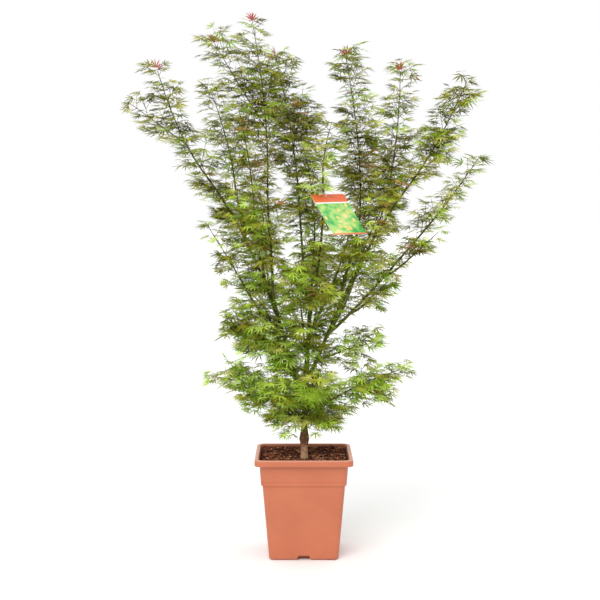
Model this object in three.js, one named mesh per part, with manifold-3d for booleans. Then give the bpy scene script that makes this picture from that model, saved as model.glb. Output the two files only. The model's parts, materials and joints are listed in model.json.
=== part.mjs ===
// A young Japanese maple in a square pot. It has one short grafted trunk, upright limbs that fan out
// from it, and open, feathery masses of foliage. Sizes are in millimetres and +Z is up. The origin is
// the middle of the pot's flat underside. +X is to the right in the front view and +Y is away from it.

import * as THREE from "three";
import { mergeVertices } from "three/addons/utils/BufferGeometryUtils.js";
import Module from "manifold-3d";

const wasm = await Module();
wasm.setup();

// Clearances
const GAP = 0.3;
const WELD = 1e-4;
const SMALLEST_EDGE = 0.06;
const PRECISION = 1e-3;
const MOST_TRIES = 12;

// Pot
const POT_HEIGHT = 316;
const RIM_WIDTH = 300;
const RIM_DEPTH = 19;
const RIM_TOP_WIDTH = 12;
const BAND_TOP_WIDTH = 270;
const BAND_FOOT_WIDTH = 261;
const BAND_FOOT_HEIGHT = 234;
const BODY_TOP_WIDTH = 252;
const FOOT_WIDTH = 214;
const POT_WALL = 2.6;
const POT_FLOOR = 4;
const POT_CORNER = 22;
const POT_ROUNDING = 2;
const CORNER_STEPS = 3;
const PAD_HEIGHT = 2;
const PAD_LENGTH = 52;
const PAD_WIDTH = 24;
const PAD_SPACING = 114;
const CENTRE_PAD_RADIUS = 34;
const CENTRE_PAD_SIDES = 24;
const NOTCH_WIDTH = 46;
const NOTCH_TOP_WIDTH = 32;
const NOTCH_HEIGHT = 15;
const NOTCH_DEPTH = 26;
const HOUSING_SINK = 0.5;

// Soil
const SOIL_BELOW_RIM = 16;
const SOIL_LUMPS = 4;
const SOIL_TOP_RINGS = 5;
const SOIL_FLAT_RADIUS = 28;
const SOIL_EDGE_INSET = 6;
const SOIL_EDGE_DROP = 2;
const SOIL_UP_BAND = 0.98;
const ROUNDEST = 0.98;

// Trunk
const TRUNK_FOOT = [1, -30];
const TRUNK_FORK = [6, -12, 512];
const TRUNK_SIDES = 12;
const TRUNK_STEPS = 14;
const TRUNK_RADIUS = 10.5;
const FLARE = 5;
const FLARE_HEIGHT = 0.1;
const GRAFT_SHARE = 0.3;
const GRAFT_SWELL = 4.5;
const GRAFT_LENGTH = 0.09;
const GRAFT_RIPPLE = 0.12;
const FOOT_RIPPLE = 0.7;
const RIPPLE_FADE = 4;

// Limbs and twigs
const LIMB_SIDES = 6;
const LIMB_STEP = 85;
const LIMB_TIP = 2.8;
const TAPER = 1.3;
const STEM_SIDES = 4;
const STEM_STEP = 75;
const STEM_TIP = 1.8;
const SHORTEST_STEM = 0.35;
const STEM_RISE = 0.3;
const TURN_SHARE = 0.4;
const FORK_ANGLE = THREE.MathUtils.degToRad(40);
const FORK_REACH = 50;
const BOW_AT = 0.6;
const FIRST_STEM_FORK = 0.27;
const STEM_FORK_SPACING = 0.22;
const FORKED_STEM_SIZE = 0.75;

// Leaves: each stands for the small spray of real leaves round one bud
const LOBE_ANGLES = [-104, -52, 0, 52, 104].map(THREE.MathUtils.degToRad);
const LOBE_LENGTHS = [0.62, 0.9, 1, 0.9, 0.62];
const NOTCH_REACH = 0.31;
const BACK_REACH = 0.13;
const BACK_ANGLE = THREE.MathUtils.degToRad(158);
const LEAF_LENGTH = 80;
const LEAF_THICKNESS = 1.8;
const LOBE_DROOP = 0.16;
const LEAF_DROOPS = [12, 54].map(THREE.MathUtils.degToRad);
const STALK_BENDS = [-20, 85].map(THREE.MathUtils.degToRad);
const LEAF_TURN = 0.7;
const LEAF_ROLL = 1.1;
const STEEPEST_STALK = 0.2;
const STALK_RADIUS = 0.7;
const TWIG_RADIUS = 1.1;
const ROOT_DEPTH = 0.5;
const SHORT_STALK = 24;
const STALK_AT_TIP = 15;
const PAIR_FROM = 58;
const NODE_SPACING = 82;
const LEAF_SPACING = 44;
const FIRST_NODE = 0.35;
const NODE_TURN = 0.5;
const REACH_SHARES = [1.04, 0.7];
const TWIG_LEANS = [0.35, 0.75];
const STALK_SHARES = [0.75, 1.15];
const LEAF_SIZES = [0.9, 1.1];
const LEAF_OVERHANG = 0.55;
const SIDE_LEAF_AT = 0.45;
const SIDE_LEAF_STAGGER = 0.03;
const SIDE_LEAF_LEAN = 0.7;
const SHRINKS = [1, 0.94, 0.88, 0.82, 0.76, 0.7, 0.64];
const SPACE_MARGIN = 2;
const LIMB_CLEARANCE = 2;

// Hanging card
const CARD_WIDTH = 114;
const CARD_HEIGHT = 163;
const CARD_THICKNESS = 0.8;
const CARD_CORNER = 4;
const CARD_LINE_SPACING = 14;
const CARD_ACROSS = [97, 60, 3];
const CARD_DOWN = [63, -97, -115];
const HOLE_RADIUS = 3;
const HOLE_FROM_LEFT = 48;
const HOLE_FROM_TOP = 9;
const KNOT_SHARE = 0.6;
const EDGE_FROM_KNOT = 8;
const TIE_RADIUS = 0.8;
const HOLE_SIDES = 10;
const TIE_SIDES = 4;
const TIE_STEPS = 32;
const TIE_STAND_OFF = 4;
const TIE_SLOPE = 0.8;

// Finishes, and the height from which the leaves are olive rather than fresh green
const TERRACOTTA = { color: 0xd68061, roughness: 0.55 };
const COMPOST = { color: 0x4c2b1c, roughness: 0.95 };
const BARK = { color: 0x6e5a41, roughness: 0.7 };
const GREEN_STEM = { color: 0x6f7a36, roughness: 0.7 };
const OLIVE_LEAVES = { color: 0x7f8239, roughness: 0.6 };
const GREEN_LEAVES = { color: 0x6f9a2e, roughness: 0.6 };
const PRINTED_CARD = { color: 0x6cba4e, roughness: 0.35 };
const PALE_PLASTIC = { color: 0xe8e6e0, roughness: 0.4 };
const OLIVE_FROM = 1000;

// Each limb: what it grows from, the share of that at which it leaves, where it ends, how far its middle
// bows outward, its radius at the root, then the tips of its mass of foliage and how wide the mass spreads.
const LIMBS = [
  { name: "left_leader", from: "trunk", at: 0.8, end: [-305, 12, 1180], bow: -95, radius: 7,
    tips: [[-462, 0, 1545], [-565, -15, 1420]], spread: 115 },
  { name: "centre_leader", from: "trunk", at: 1, end: [32, 18, 960], bow: 0, radius: 8,
    tips: [[0, 45, 1270], [-60, 10, 1140]], spread: 115 },
  { name: "right_leader", from: "centre_leader", at: 0.06, end: [325, -35, 1150], bow: -60, radius: 6.6,
    tips: [[512, -60, 1505], [435, -110, 1330]], spread: 110 },
  { name: "far_right_leader", from: "right_leader", at: 0.24, end: [372, 12, 1005], bow: 10, radius: 5,
    tips: [[566, 10, 1270]], spread: 95 },
  { name: "top_leader", from: "left_leader", at: 0.44, end: [-112, 20, 1175], bow: 8, radius: 5,
    tips: [[-167, 20, 1697], [-296, -45, 1615]], spread: 130 },
  { name: "top_right_leader", from: "centre_leader", at: 0.55, end: [-18, 105, 1140], bow: 18, radius: 4.6,
    tips: [[-100, 125, 1605], [0, 150, 1450]], spread: 125 },
  { name: "upper_left_limb", from: "left_leader", at: 0.7, end: [-215, 65, 1150], bow: 6, radius: 4.6,
    tips: [[-310, 125, 1490]], spread: 110 },
  { name: "front_left_limb", from: "left_leader", at: 0.5, end: [-150, -85, 1050], bow: 14, radius: 4.8,
    tips: [[-205, -165, 1420]], spread: 110 },
  { name: "centre_right_leader", from: "right_leader", at: 0.4, end: [172, -45, 1080], bow: 20, radius: 5.4,
    tips: [[116, -65, 1582]], spread: 120 },
  { name: "right_spire_limb", from: "right_leader", at: 0.34, end: [238, 55, 1040], bow: 16, radius: 5,
    tips: [[303, 95, 1550]], spread: 110 },
  { name: "front_centre_limb", from: "centre_leader", at: 0.45, end: [55, -215, 1158], bow: 90, radius: 4.8,
    tips: [[92, -225, 1362]], spread: 115 },
  { name: "small_left_limb", from: "left_leader", at: 0.28, end: [-180, -15, 830], bow: 14, radius: 4.4,
    tips: [[-324, -40, 1068], [-270, -60, 950]], spread: 90 },
  { name: "middle_left_limb", from: "left_leader", at: 0.2, end: [-110, 55, 735], bow: 12, radius: 4.2,
    tips: [[-285, 150, 850], [-262, 50, 790]], spread: 115 },
  { name: "low_left_limb", from: "left_leader", at: 0.1, end: [-80, -50, 630], bow: 8, radius: 4.2,
    tips: [[-268, -125, 745], [-215, -70, 690]], spread: 110 },
  { name: "bottom_left_limb", from: "trunk", at: 0.72, end: [-72, -24, 492], bow: 6, radius: 4.4,
    tips: [[-338, -30, 562], [-215, -70, 470], [-205, -10, 625]], spread: 95 },
  { name: "bottom_right_limb", from: "trunk", at: 0.66, end: [100, -16, 490], bow: 6, radius: 4.4,
    tips: [[362, -15, 596], [290, 20, 465], [205, -95, 535]], spread: 90 },
  { name: "low_right_limb", from: "right_leader", at: 0.1, end: [105, 38, 622], bow: 4, radius: 4,
    tips: [[276, 75, 660], [255, -20, 715]], spread: 100 },
  { name: "outer_right_limb", from: "far_right_leader", at: 0.55, end: [305, -40, 905], bow: 6, radius: 3.6,
    tips: [[440, -125, 1040], [355, -150, 985]], spread: 100 },
  { name: "middle_right_limb", from: "far_right_leader", at: 0.2, end: [190, 38, 775], bow: 8, radius: 3.8,
    tips: [[320, 120, 890], [262, 30, 850]], spread: 110 },
  { name: "front_middle_limb", from: "centre_leader", at: 0.2, end: [-5, -100, 740], bow: 12, radius: 4.4,
    tips: [[-35, -340, 900], [90, -290, 850]], spread: 125 },
  { name: "back_middle_limb", from: "centre_leader", at: 0.28, end: [45, 115, 775], bow: 12, radius: 4.6,
    tips: [[70, 390, 960], [-60, 330, 880]], spread: 135 },
  { name: "back_left_limb", from: "left_leader", at: 0.36, end: [-120, 150, 920], bow: 22, radius: 4.8,
    tips: [[-190, 370, 1260], [-290, 250, 1120]], spread: 135 },
  { name: "back_right_limb", from: "centre_leader", at: 0.38, end: [125, 150, 920], bow: 24, radius: 4.8,
    tips: [[235, 360, 1270], [320, 240, 1130]], spread: 135 },
  { name: "front_upper_limb", from: "left_leader", at: 0.3, end: [-95, -135, 880], bow: 20, radius: 4.6,
    tips: [[-140, -345, 1160], [-225, -260, 1060]], spread: 125 },
  { name: "front_right_limb", from: "right_leader", at: 0.2, end: [150, -125, 860], bow: 18, radius: 4.6,
    tips: [[245, -335, 1130], [150, -330, 1000]], spread: 125 },
];

// Masses that grow straight from the trunk.
const TRUNK_MASSES = [
  { name: "skirt_left", from: "trunk", at: 0.52, tips: [[-145, -40, 418], [-105, 70, 445]], spread: 95 },
  { name: "skirt_right", from: "trunk", at: 0.56, tips: [[140, -50, 425], [80, -125, 430]], spread: 95 },
  { name: "skirt_front", from: "trunk", at: 0.82, tips: [[35, -285, 590], [-105, -185, 520]], spread: 120 },
  { name: "skirt_back", from: "trunk", at: 0.78, tips: [[-25, 265, 560], [120, 190, 520]], spread: 125 },
  { name: "skirt_rear", from: "trunk", at: 0.62, tips: [[-245, 135, 575], [-140, 165, 500]], spread: 115 },
];

const UP = new THREE.Vector3(0, 0, 1);

// A repeatable random number between 0 and 1 (a small 32-bit generator)
function seeded(seed) {
  let state = seed >>> 0;
  return () => {
    state = (state + 0x6d2b79f5) >>> 0;
    let mixed = Math.imul(state ^ (state >>> 15), state | 1);
    mixed = (mixed + Math.imul(mixed ^ (mixed >>> 7), mixed | 61)) ^ mixed;
    return ((mixed ^ (mixed >>> 14)) >>> 0) / 4294967296;
  };
}

// The value at a share of the way through a range
function between([low, high], share) {
  return THREE.MathUtils.lerp(low, high, share);
}

// A geometry as a solid, its seams welded
function toSolid(geometry) {
  const bare = geometry.clone();
  bare.deleteAttribute("normal");
  bare.deleteAttribute("uv");
  const welded = mergeVertices(bare, WELD);
  return new wasm.Manifold(new wasm.Mesh({
    numProp: 3,
    vertProperties: new Float32Array(welded.attributes.position.array),
    triVerts: new Uint32Array(welded.index.array),
  }));
}

function toGeometry(solid) {
  const { vertProperties, triVerts } = solid.getMesh();
  const geometry = new THREE.BufferGeometry();
  geometry.setAttribute("position", new THREE.BufferAttribute(vertProperties, 3));
  geometry.setIndex(new THREE.BufferAttribute(triVerts, 1));
  geometry.computeVertexNormals();
  return geometry;
}

// True where each edge still has exactly two faces once points closer than the precision are one
function staysClosed(solid) {
  const bare = toGeometry(solid);
  bare.deleteAttribute("normal");
  const corners = mergeVertices(bare, PRECISION).index.array;
  const uses = new Map();
  for (let i = 0; i < corners.length; i += 3) {
    const face = corners.slice(i, i + 3);
    if (new Set(face).size < 3) continue;
    face.forEach((corner, k) => {
      const next = face[(k + 1) % 3];
      const edge = `${Math.min(corner, next)} ${Math.max(corner, next)}`;
      uses.set(edge, (uses.get(edge) ?? 0) + 1);
    });
  }
  return [...uses.values()].every((count) => count === 2);
}

// The largest piece of a solid, without loose scraps or sealed hollows
function mainPiece(solid) {
  const pieces = solid.simplify(SMALLEST_EDGE).decompose();
  return pieces.reduce((largest, piece) => (piece.volume() > largest.volume() ? piece : largest));
}

// A closed surface through rings of points, capped at its first and last ring
function loft(rings) {
  const count = rings[0].length;
  const points = rings.flat();
  const index = [];
  for (let ring = 0; ring < rings.length - 1; ring++) {
    for (let k = 0; k < count; k++) {
      const low = ring * count + k;
      const lowNext = ring * count + ((k + 1) % count);
      index.push(low, lowNext, lowNext + count, low, lowNext + count, low + count);
    }
  }
  const last = (rings.length - 1) * count;
  const firstCentre = points.length;
  points.push(middle(rings[0]), middle(rings[rings.length - 1]));
  for (let k = 0; k < count; k++) {
    const next = (k + 1) % count;
    index.push(firstCentre, next, k);
    index.push(firstCentre + 1, last + k, last + next);
  }
  const geometry = new THREE.BufferGeometry().setFromPoints(points);
  geometry.setIndex(index);
  return geometry;
}

function middle(points) {
  const sum = points.reduce((total, point) => total.add(point), new THREE.Vector3());
  return sum.divideScalar(points.length);
}

// A square ring with round corners, counterclockwise from above
function squareRing(width, corner, height) {
  const inner = width / 2 - corner;
  const ring = [];
  for (let side = 0; side < 4; side++) {
    const start = (side * Math.PI) / 2;
    const centre = new THREE.Vector2(inner, inner).rotateAround(new THREE.Vector2(), start);
    for (let step = 0; step <= CORNER_STEPS; step++) {
      const angle = start + (step / CORNER_STEPS) * (Math.PI / 2);
      ring.push(new THREE.Vector3(
        centre.x + corner * Math.cos(angle), centre.y + corner * Math.sin(angle), height));
    }
  }
  return ring;
}

// A geometry that stands along Y from -0.5 to 0.5, carried onto a curve
function bend(shape, curve, steps, radiusAt) {
  const frames = curve.computeFrenetFrames(steps, false);
  const position = shape.attributes.position;
  const point = new THREE.Vector3();
  for (let i = 0; i < position.count; i++) {
    const ring = Math.round((position.getY(i) + 0.5) * steps);
    const radius = radiusAt(ring / steps, Math.atan2(position.getZ(i), position.getX(i)));
    const across = new THREE.Vector3().crossVectors(frames.normals[ring], frames.tangents[ring]);
    curve.getPointAt(ring / steps, point);
    point.addScaledVector(frames.normals[ring], position.getX(i) * radius);
    point.addScaledVector(across, position.getZ(i) * radius);
    position.setXYZ(i, point.x, point.y, point.z);
  }
  return shape;
}

function tube(curve, steps, sides, radiusAt) {
  return bend(new THREE.CylinderGeometry(1, 1, 1, sides, steps), curve, steps, radiusAt);
}

// A box given by its lowest and highest corners
function box(low, high) {
  const size = new THREE.Vector3().subVectors(high, low);
  const geometry = new THREE.BoxGeometry(size.x, size.y, size.z);
  geometry.translate((low.x + high.x) / 2, (low.y + high.y) / 2, (low.z + high.z) / 2);
  return geometry;
}

// One drainage notch of the pot's side that faces the front, grown by a margin, reaching inward
function notch(margin, outward) {
  const outline = new THREE.Shape([
    new THREE.Vector2(-NOTCH_WIDTH / 2 - margin, PAD_HEIGHT - POT_FLOOR),
    new THREE.Vector2(NOTCH_WIDTH / 2 + margin, PAD_HEIGHT - POT_FLOOR),
    new THREE.Vector2(NOTCH_TOP_WIDTH / 2 + margin, NOTCH_HEIGHT + margin),
    new THREE.Vector2(-NOTCH_TOP_WIDTH / 2 - margin, NOTCH_HEIGHT + margin),
  ]);
  const depth = NOTCH_DEPTH + margin + outward;
  const geometry = new THREE.ExtrudeGeometry(outline, { depth, bevelEnabled: false });
  geometry.rotateX(Math.PI / 2);
  geometry.translate(0, -FOOT_WIDTH / 2 + NOTCH_DEPTH + margin, 0);
  return geometry;
}

// The same shape on all four sides of the pot
function onFourSides(makeGeometry) {
  const solids = [0, 1, 2, 3].map((turn) => {
    const geometry = makeGeometry();
    geometry.rotateZ((turn * Math.PI) / 2);
    return toSolid(geometry);
  });
  return wasm.Manifold.union(solids);
}

// A thin wall from the outside of the foot up over the rolled rim and down the inside, with notches
// in the foot of each side, their housings within, and low pads that the pot stands on
function potSolid() {
  const lip = POT_HEIGHT - RIM_DEPTH;
  const inside = (width) => width - 2 * POT_WALL;
  const openingWidth = RIM_WIDTH - 2 * RIM_TOP_WIDTH;
  const rings = [
    [FOOT_WIDTH - 4 * POT_ROUNDING, PAD_HEIGHT],
    [FOOT_WIDTH, PAD_HEIGHT + 2 * POT_ROUNDING],
    [BODY_TOP_WIDTH, BAND_FOOT_HEIGHT - POT_ROUNDING],
    [BAND_FOOT_WIDTH, BAND_FOOT_HEIGHT + POT_ROUNDING],
    [BAND_TOP_WIDTH, lip],
    [openingWidth + 2 * POT_WALL, POT_HEIGHT - POT_WALL],
    [inside(RIM_WIDTH), POT_HEIGHT - POT_WALL],
    [inside(RIM_WIDTH), lip],
    [RIM_WIDTH, lip],
    [RIM_WIDTH, POT_HEIGHT - POT_ROUNDING],
    [RIM_WIDTH - POT_ROUNDING, POT_HEIGHT],
    [openingWidth + POT_ROUNDING, POT_HEIGHT],
    [openingWidth - POT_ROUNDING, POT_HEIGHT - 2 * POT_ROUNDING],
    [inside(BAND_TOP_WIDTH), lip],
    [inside(BAND_FOOT_WIDTH), BAND_FOOT_HEIGHT + POT_ROUNDING],
    [inside(BODY_TOP_WIDTH), BAND_FOOT_HEIGHT - POT_ROUNDING],
    [inside(FOOT_WIDTH), PAD_HEIGHT + POT_FLOOR],
  ].map(([width, height]) => squareRing(width, (POT_CORNER * width) / RIM_WIDTH, height));
  const shell = toSolid(loft(rings));
  const housings = onFourSides(() => notch(POT_WALL, 0)).intersect(innerBlock(HOUSING_SINK));
  const pads = onFourSides(() => {
    const outer = -FOOT_WIDTH / 2 + 4 * POT_ROUNDING;
    const pair = [-1, 1].map((side) => {
      const centre = (side * PAD_SPACING) / 2;
      return box(
        new THREE.Vector3(centre - PAD_LENGTH / 2, outer, 0),
        new THREE.Vector3(centre + PAD_LENGTH / 2, outer + PAD_WIDTH, PAD_HEIGHT + 1));
    });
    return joined(pair);
  });
  const centrePad = new THREE.CylinderGeometry(
    CENTRE_PAD_RADIUS, CENTRE_PAD_RADIUS, PAD_HEIGHT + 1, CENTRE_PAD_SIDES);
  centrePad.rotateX(Math.PI / 2);
  centrePad.translate(0, 0, (PAD_HEIGHT + 1) / 2);
  const channels = onFourSides(() => notch(0, POT_CORNER));
  return mainPiece(shell.add(housings).add(pads).add(toSolid(centrePad)).subtract(channels));
}

// Several shapes that don't meet, as one geometry
function joined(geometries) {
  const points = [];
  const index = [];
  for (const geometry of geometries) {
    const start = points.length / 3;
    points.push(...geometry.attributes.position.array);
    index.push(...Array.from(geometry.index.array, (i) => i + start));
  }
  const merged = new THREE.BufferGeometry();
  merged.setAttribute("position", new THREE.Float32BufferAttribute(points, 3));
  merged.setIndex(index);
  return merged;
}

// The space inside the pot's walls below the rim, grown into the walls by a margin
function innerBlock(margin) {
  const inside = (width) => width - 2 * POT_WALL + 2 * margin;
  const rings = [
    [inside(FOOT_WIDTH), PAD_HEIGHT + POT_FLOOR - margin],
    [inside(BODY_TOP_WIDTH), BAND_FOOT_HEIGHT - POT_ROUNDING],
  ].map(([width, height]) => squareRing(width, (POT_CORNER * width) / RIM_WIDTH, height));
  return toSolid(loft(rings));
}

// The soil fills the pot to just below the rim: uneven on top, level round the trunk
function soilSolid() {
  const random = seeded(11);
  const top = POT_HEIGHT - SOIL_BELOW_RIM;
  const inside = (width) => width - 2 * POT_WALL - 2 * GAP;
  const topWidth = inside(THREE.MathUtils.lerp(BAND_FOOT_WIDTH, BAND_TOP_WIDTH, SOIL_UP_BAND));
  const rings = [
    [inside(FOOT_WIDTH), PAD_HEIGHT + POT_FLOOR + GAP],
    [inside(BODY_TOP_WIDTH), BAND_FOOT_HEIGHT - POT_ROUNDING + GAP],
    [inside(BAND_FOOT_WIDTH), BAND_FOOT_HEIGHT + POT_ROUNDING + GAP],
    [topWidth, top - SOIL_LUMPS - SOIL_EDGE_DROP],
  ].map(([width, height]) => squareRing(width, (POT_CORNER * width) / RIM_WIDTH, height));
  for (let ring = 0; ring < SOIL_TOP_RINGS; ring++) {
    const inward = ring / (SOIL_TOP_RINGS - 1);
    const width = THREE.MathUtils.lerp(topWidth - SOIL_EDGE_INSET, 2 * SOIL_FLAT_RADIUS, inward);
    const corner = THREE.MathUtils.lerp(POT_CORNER, SOIL_FLAT_RADIUS, inward);
    const points = squareRing(width, corner * ROUNDEST, top);
    const lumps = inward < 1 ? SOIL_LUMPS : 0;
    points.forEach((point) => {
      point.z += (2 * random() - 1) * lumps;
      point.x += TRUNK_FOOT[0] * inward;
      point.y += TRUNK_FOOT[1] * inward;
    });
    rings.push(points);
  }
  const block = toSolid(loft(rings));
  return mainPiece(block.subtract(onFourSides(() => notch(POT_WALL + GAP, 0))));
}

// A curve that leaves its start along a direction and ends at a point
function turningCurve(start, direction, end) {
  const reach = start.distanceTo(end) * TURN_SHARE;
  const control = start.clone().addScaledVector(direction, reach);
  return new THREE.QuadraticBezierCurve3(start, control, end);
}

// The middle line of a limb. Its root lies on its parent's middle line, or just past its parent's end.
function limbCurve(limb, parent) {
  const end = new THREE.Vector3(...limb.end);
  if (limb.at === 1) {
    const direction = parent.curve.getTangentAt(1);
    const start = parent.curve.getPointAt(1).addScaledVector(direction, GAP);
    return turningCurve(start, direction, end);
  }
  const start = parent.curve.getPointAt(limb.at);
  const along = parent.curve.getTangentAt(limb.at);
  const chord = new THREE.Vector3().subVectors(end, start);
  const sideways = chord.clone().addScaledVector(along, -chord.dot(along)).normalize();
  const leaving = along.multiplyScalar(Math.cos(FORK_ANGLE)).addScaledVector(sideways, Math.sin(FORK_ANGLE));
  const first = start.clone().addScaledVector(leaving, Math.min(FORK_REACH, chord.length() / 4));
  const second = start.clone().lerp(end, BOW_AT);
  const outward = new THREE.Vector3(second.x - TRUNK_FORK[0], second.y - TRUNK_FORK[1], 0).normalize();
  second.addScaledVector(outward, limb.bow);
  return new THREE.CubicBezierCurve3(start, first, second, end);
}

// The trunk: cut flat at the soil, flared at its foot, swollen and rough where it was grafted
function makeTrunk() {
  const random = seeded(5);
  const soil = POT_HEIGHT - SOIL_BELOW_RIM + GAP;
  const foot = new THREE.Vector3(...TRUNK_FOOT, soil);
  const curve = turningCurve(foot, UP, new THREE.Vector3(...TRUNK_FORK));
  const ripple = [random(), random()].map((turn) => turn * 2 * Math.PI);
  const radiusAt = (share, angle) => {
    const flare = FLARE * Math.exp(-share / FLARE_HEIGHT);
    const graft = GRAFT_SWELL * Math.exp(-(((share - GRAFT_SHARE) / GRAFT_LENGTH) ** 2));
    const rough = FOOT_RIPPLE * Math.cos(3 * angle + ripple[0]) * Math.exp(-RIPPLE_FADE * share)
      + GRAFT_RIPPLE * graft * Math.cos(2 * angle + ripple[1]);
    return TRUNK_RADIUS - share + flare + graft + rough;
  };
  const solidWith = (margin) => toSolid(tube(curve, TRUNK_STEPS, TRUNK_SIDES,
    (share, angle) => radiusAt(share, angle) + margin));
  return { name: "trunk", curve, radiusAt: (share) => radiusAt(share, 0), solidWith, steps: TRUNK_STEPS };
}

// A limb tapers from its root all the way to its tip
function makeLimb(limb, parent) {
  const curve = limbCurve(limb, parent);
  const steps = Math.max(4, Math.round(curve.getLength() / LIMB_STEP));
  const root = limb.at === 1 ? parent.radiusAt(1) : limb.radius;
  const radiusAt = (share) => LIMB_TIP + (root - LIMB_TIP) * (1 - share) ** TAPER;
  const solidWith = (margin) => toSolid(tube(curve, steps, LIMB_SIDES, (share) => radiusAt(share) + margin));
  return { ...limb, curve, radiusAt, solidWith, steps };
}

// What grows from the side of its parent is hollowed at its root to fit round it
function seatOn(solid, parent) {
  const facetMargin = GAP / Math.cos(Math.PI / LIMB_SIDES);
  return solid.subtract(parent.solidWith(facetMargin));
}

// The stems of a mass: the first goes on from its bough or leaves the trunk, the others fork off the first
function massStems(mass, carrier) {
  const stems = [];
  mass.tips.forEach((tip, i) => {
    const end = new THREE.Vector3(...tip);
    let start;
    let direction;
    if (i > 0) {
      start = stems[0].curve.getPointAt(FIRST_STEM_FORK + STEM_FORK_SPACING * (i - 1));
      direction = new THREE.Vector3().subVectors(end, start).normalize();
    } else if (mass.from) {
      start = carrier.curve.getPointAt(mass.at);
      const rise = STEM_RISE * start.distanceTo(end);
      direction = new THREE.Vector3(end.x - start.x, end.y - start.y, rise).normalize();
    } else {
      direction = carrier.curve.getTangentAt(1);
      start = carrier.curve.getPointAt(1).addScaledVector(direction, GAP);
    }
    const whole = turningCurve(start, direction, end);
    const finish = whole.getTangentAt(1);
    const leafReach = STALK_AT_TIP + LEAF_LENGTH * Math.hypot(finish.x, finish.y);
    const tipShare = Math.max(SHORTEST_STEM, 1 - leafReach / whole.getLength());
    const curve = turningCurve(start, direction, whole.getPointAt(tipShare));
    const rootRadius = LIMB_TIP * (i > 0 ? FORKED_STEM_SIZE : 1);
    stems.push({ curve, whole, rootRadius });
  });
  return stems;
}

// How far a point lies outside a mass's spread round its stems; less than zero inside it
function outside(point, mass) {
  const nearest = new THREE.Vector3();
  const distances = mass.lines.map((line) => {
    line.closestPointToPoint(point, true, nearest);
    return nearest.distanceTo(point);
  });
  return Math.min(...distances) - mass.spread;
}

// A mass keeps to the points that lie deeper in its own spread than in that of any other mass
function keepsToSpace(points, mass, masses) {
  return points.every((point) => {
    const own = outside(point, mass);
    return own <= 0 && masses.every((other) => other === mass || own + SPACE_MARGIN <= outside(point, other));
  });
}

// True where straight lines pass every limb, and the card, at a distance
function clearOfLimbs(lines, limbLines) {
  const first = new THREE.Vector3();
  const second = new THREE.Vector3();
  return lines.every((line) => limbLines.every(({ line: limb, radius }) => {
    const squared = line.distanceSqToLine3(limb, first, second);
    return squared > (radius + LIMB_CLEARANCE) ** 2;
  }));
}

// A palmate leaf on its stalk: five lobes round a middle, drooping to their tips
function makeLeaf(point, direction, stalkLength, random, size) {
  const root = point.clone().addScaledVector(direction, -ROOT_DEPTH);
  const centre = point.clone().addScaledVector(direction, stalkLength);
  const level = new THREE.Vector3(direction.x, direction.y, 0);
  if (level.length() < STEEPEST_STALK) level.set(random() - 0.5, random() - 0.5, 0);
  level.normalize().applyAxisAngle(UP, (random() - 0.5) * LEAF_TURN);
  const [leastDroop, mostDroop] = STALK_BENDS.map((bend) => bend - Math.asin(direction.z));
  const droop = THREE.MathUtils.clamp(between(LEAF_DROOPS, random()), leastDroop, mostDroop);
  const ahead = level.clone().multiplyScalar(Math.cos(droop)).addScaledVector(UP, -Math.sin(droop));
  const face = new THREE.Vector3().crossVectors(ahead, UP).cross(ahead).normalize();
  face.applyAxisAngle(ahead, (random() - 0.5) * LEAF_ROLL);
  const side = new THREE.Vector3().crossVectors(face, ahead);
  const at = (angle, reach) => centre.clone()
    .addScaledVector(ahead, Math.cos(angle) * reach * size)
    .addScaledVector(side, Math.sin(angle) * reach * size)
    .addScaledVector(face, -LOBE_DROOP * reach * reach * size);
  const tips = LOBE_ANGLES.map((angle, i) => at(angle, LOBE_LENGTHS[i]));
  const outline = [at(-BACK_ANGLE, BACK_REACH)];
  tips.forEach((tip, i) => {
    if (i > 0) outline.push(at((LOBE_ANGLES[i - 1] + LOBE_ANGLES[i]) / 2, NOTCH_REACH));
    outline.push(tip);
  });
  outline.push(at(BACK_ANGLE, BACK_REACH));
  const stalkRadius = stalkLength > PAIR_FROM ? TWIG_RADIUS : STALK_RADIUS;
  return { root, centre, tips, outline, face, direction, stalkRadius };
}

// A leaf is thickest in its middle and thins to its outline. A stalk from below joins its underside, and any
// other its back edge, so the two never pass through each other
function leafSolid(leaf) {
  const { root, centre, outline, face, direction, stalkRadius } = leaf;
  const top = centre.clone().addScaledVector(face, LEAF_THICKNESS / 2);
  const bottom = centre.clone().addScaledVector(face, -LEAF_THICKNESS / 2);
  const across = new THREE.Vector3().crossVectors(direction, face).normalize();
  const upright = new THREE.Vector3().crossVectors(across, direction).normalize();
  const stalkEnd = [90, 210, 330].map((degrees) => {
    const angle = THREE.MathUtils.degToRad(degrees);
    return root.clone()
      .addScaledVector(across, Math.cos(angle) * stalkRadius)
      .addScaledVector(upright, Math.sin(angle) * stalkRadius);
  });
  const points = [...outline, top, bottom, ...stalkEnd];
  const last = outline.length - 1;
  const topIndex = outline.length;
  const bottomIndex = topIndex + 1;
  const [stalkTop, stalkLeft, stalkRight] = [topIndex + 2, topIndex + 3, topIndex + 4];
  const index = [];
  for (let i = 0; i < last; i++) {
    index.push(topIndex, i, i + 1);
    index.push(bottomIndex, i + 1, i);
  }
  if (direction.dot(face) > 0) {
    index.push(topIndex, last, 0, last, stalkTop, 0, last, stalkLeft, stalkTop, 0, stalkTop, stalkRight);
  } else {
    index.push(topIndex, last, stalkLeft, topIndex, stalkLeft, stalkTop);
    index.push(topIndex, stalkTop, stalkRight, topIndex, stalkRight, 0);
  }
  index.push(bottomIndex, 0, stalkRight, bottomIndex, stalkRight, stalkLeft, bottomIndex, stalkLeft, last);
  index.push(stalkTop, stalkLeft, stalkRight);
  const geometry = new THREE.BufferGeometry().setFromPoints(points);
  geometry.setIndex(index);
  return toSolid(geometry);
}

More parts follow.
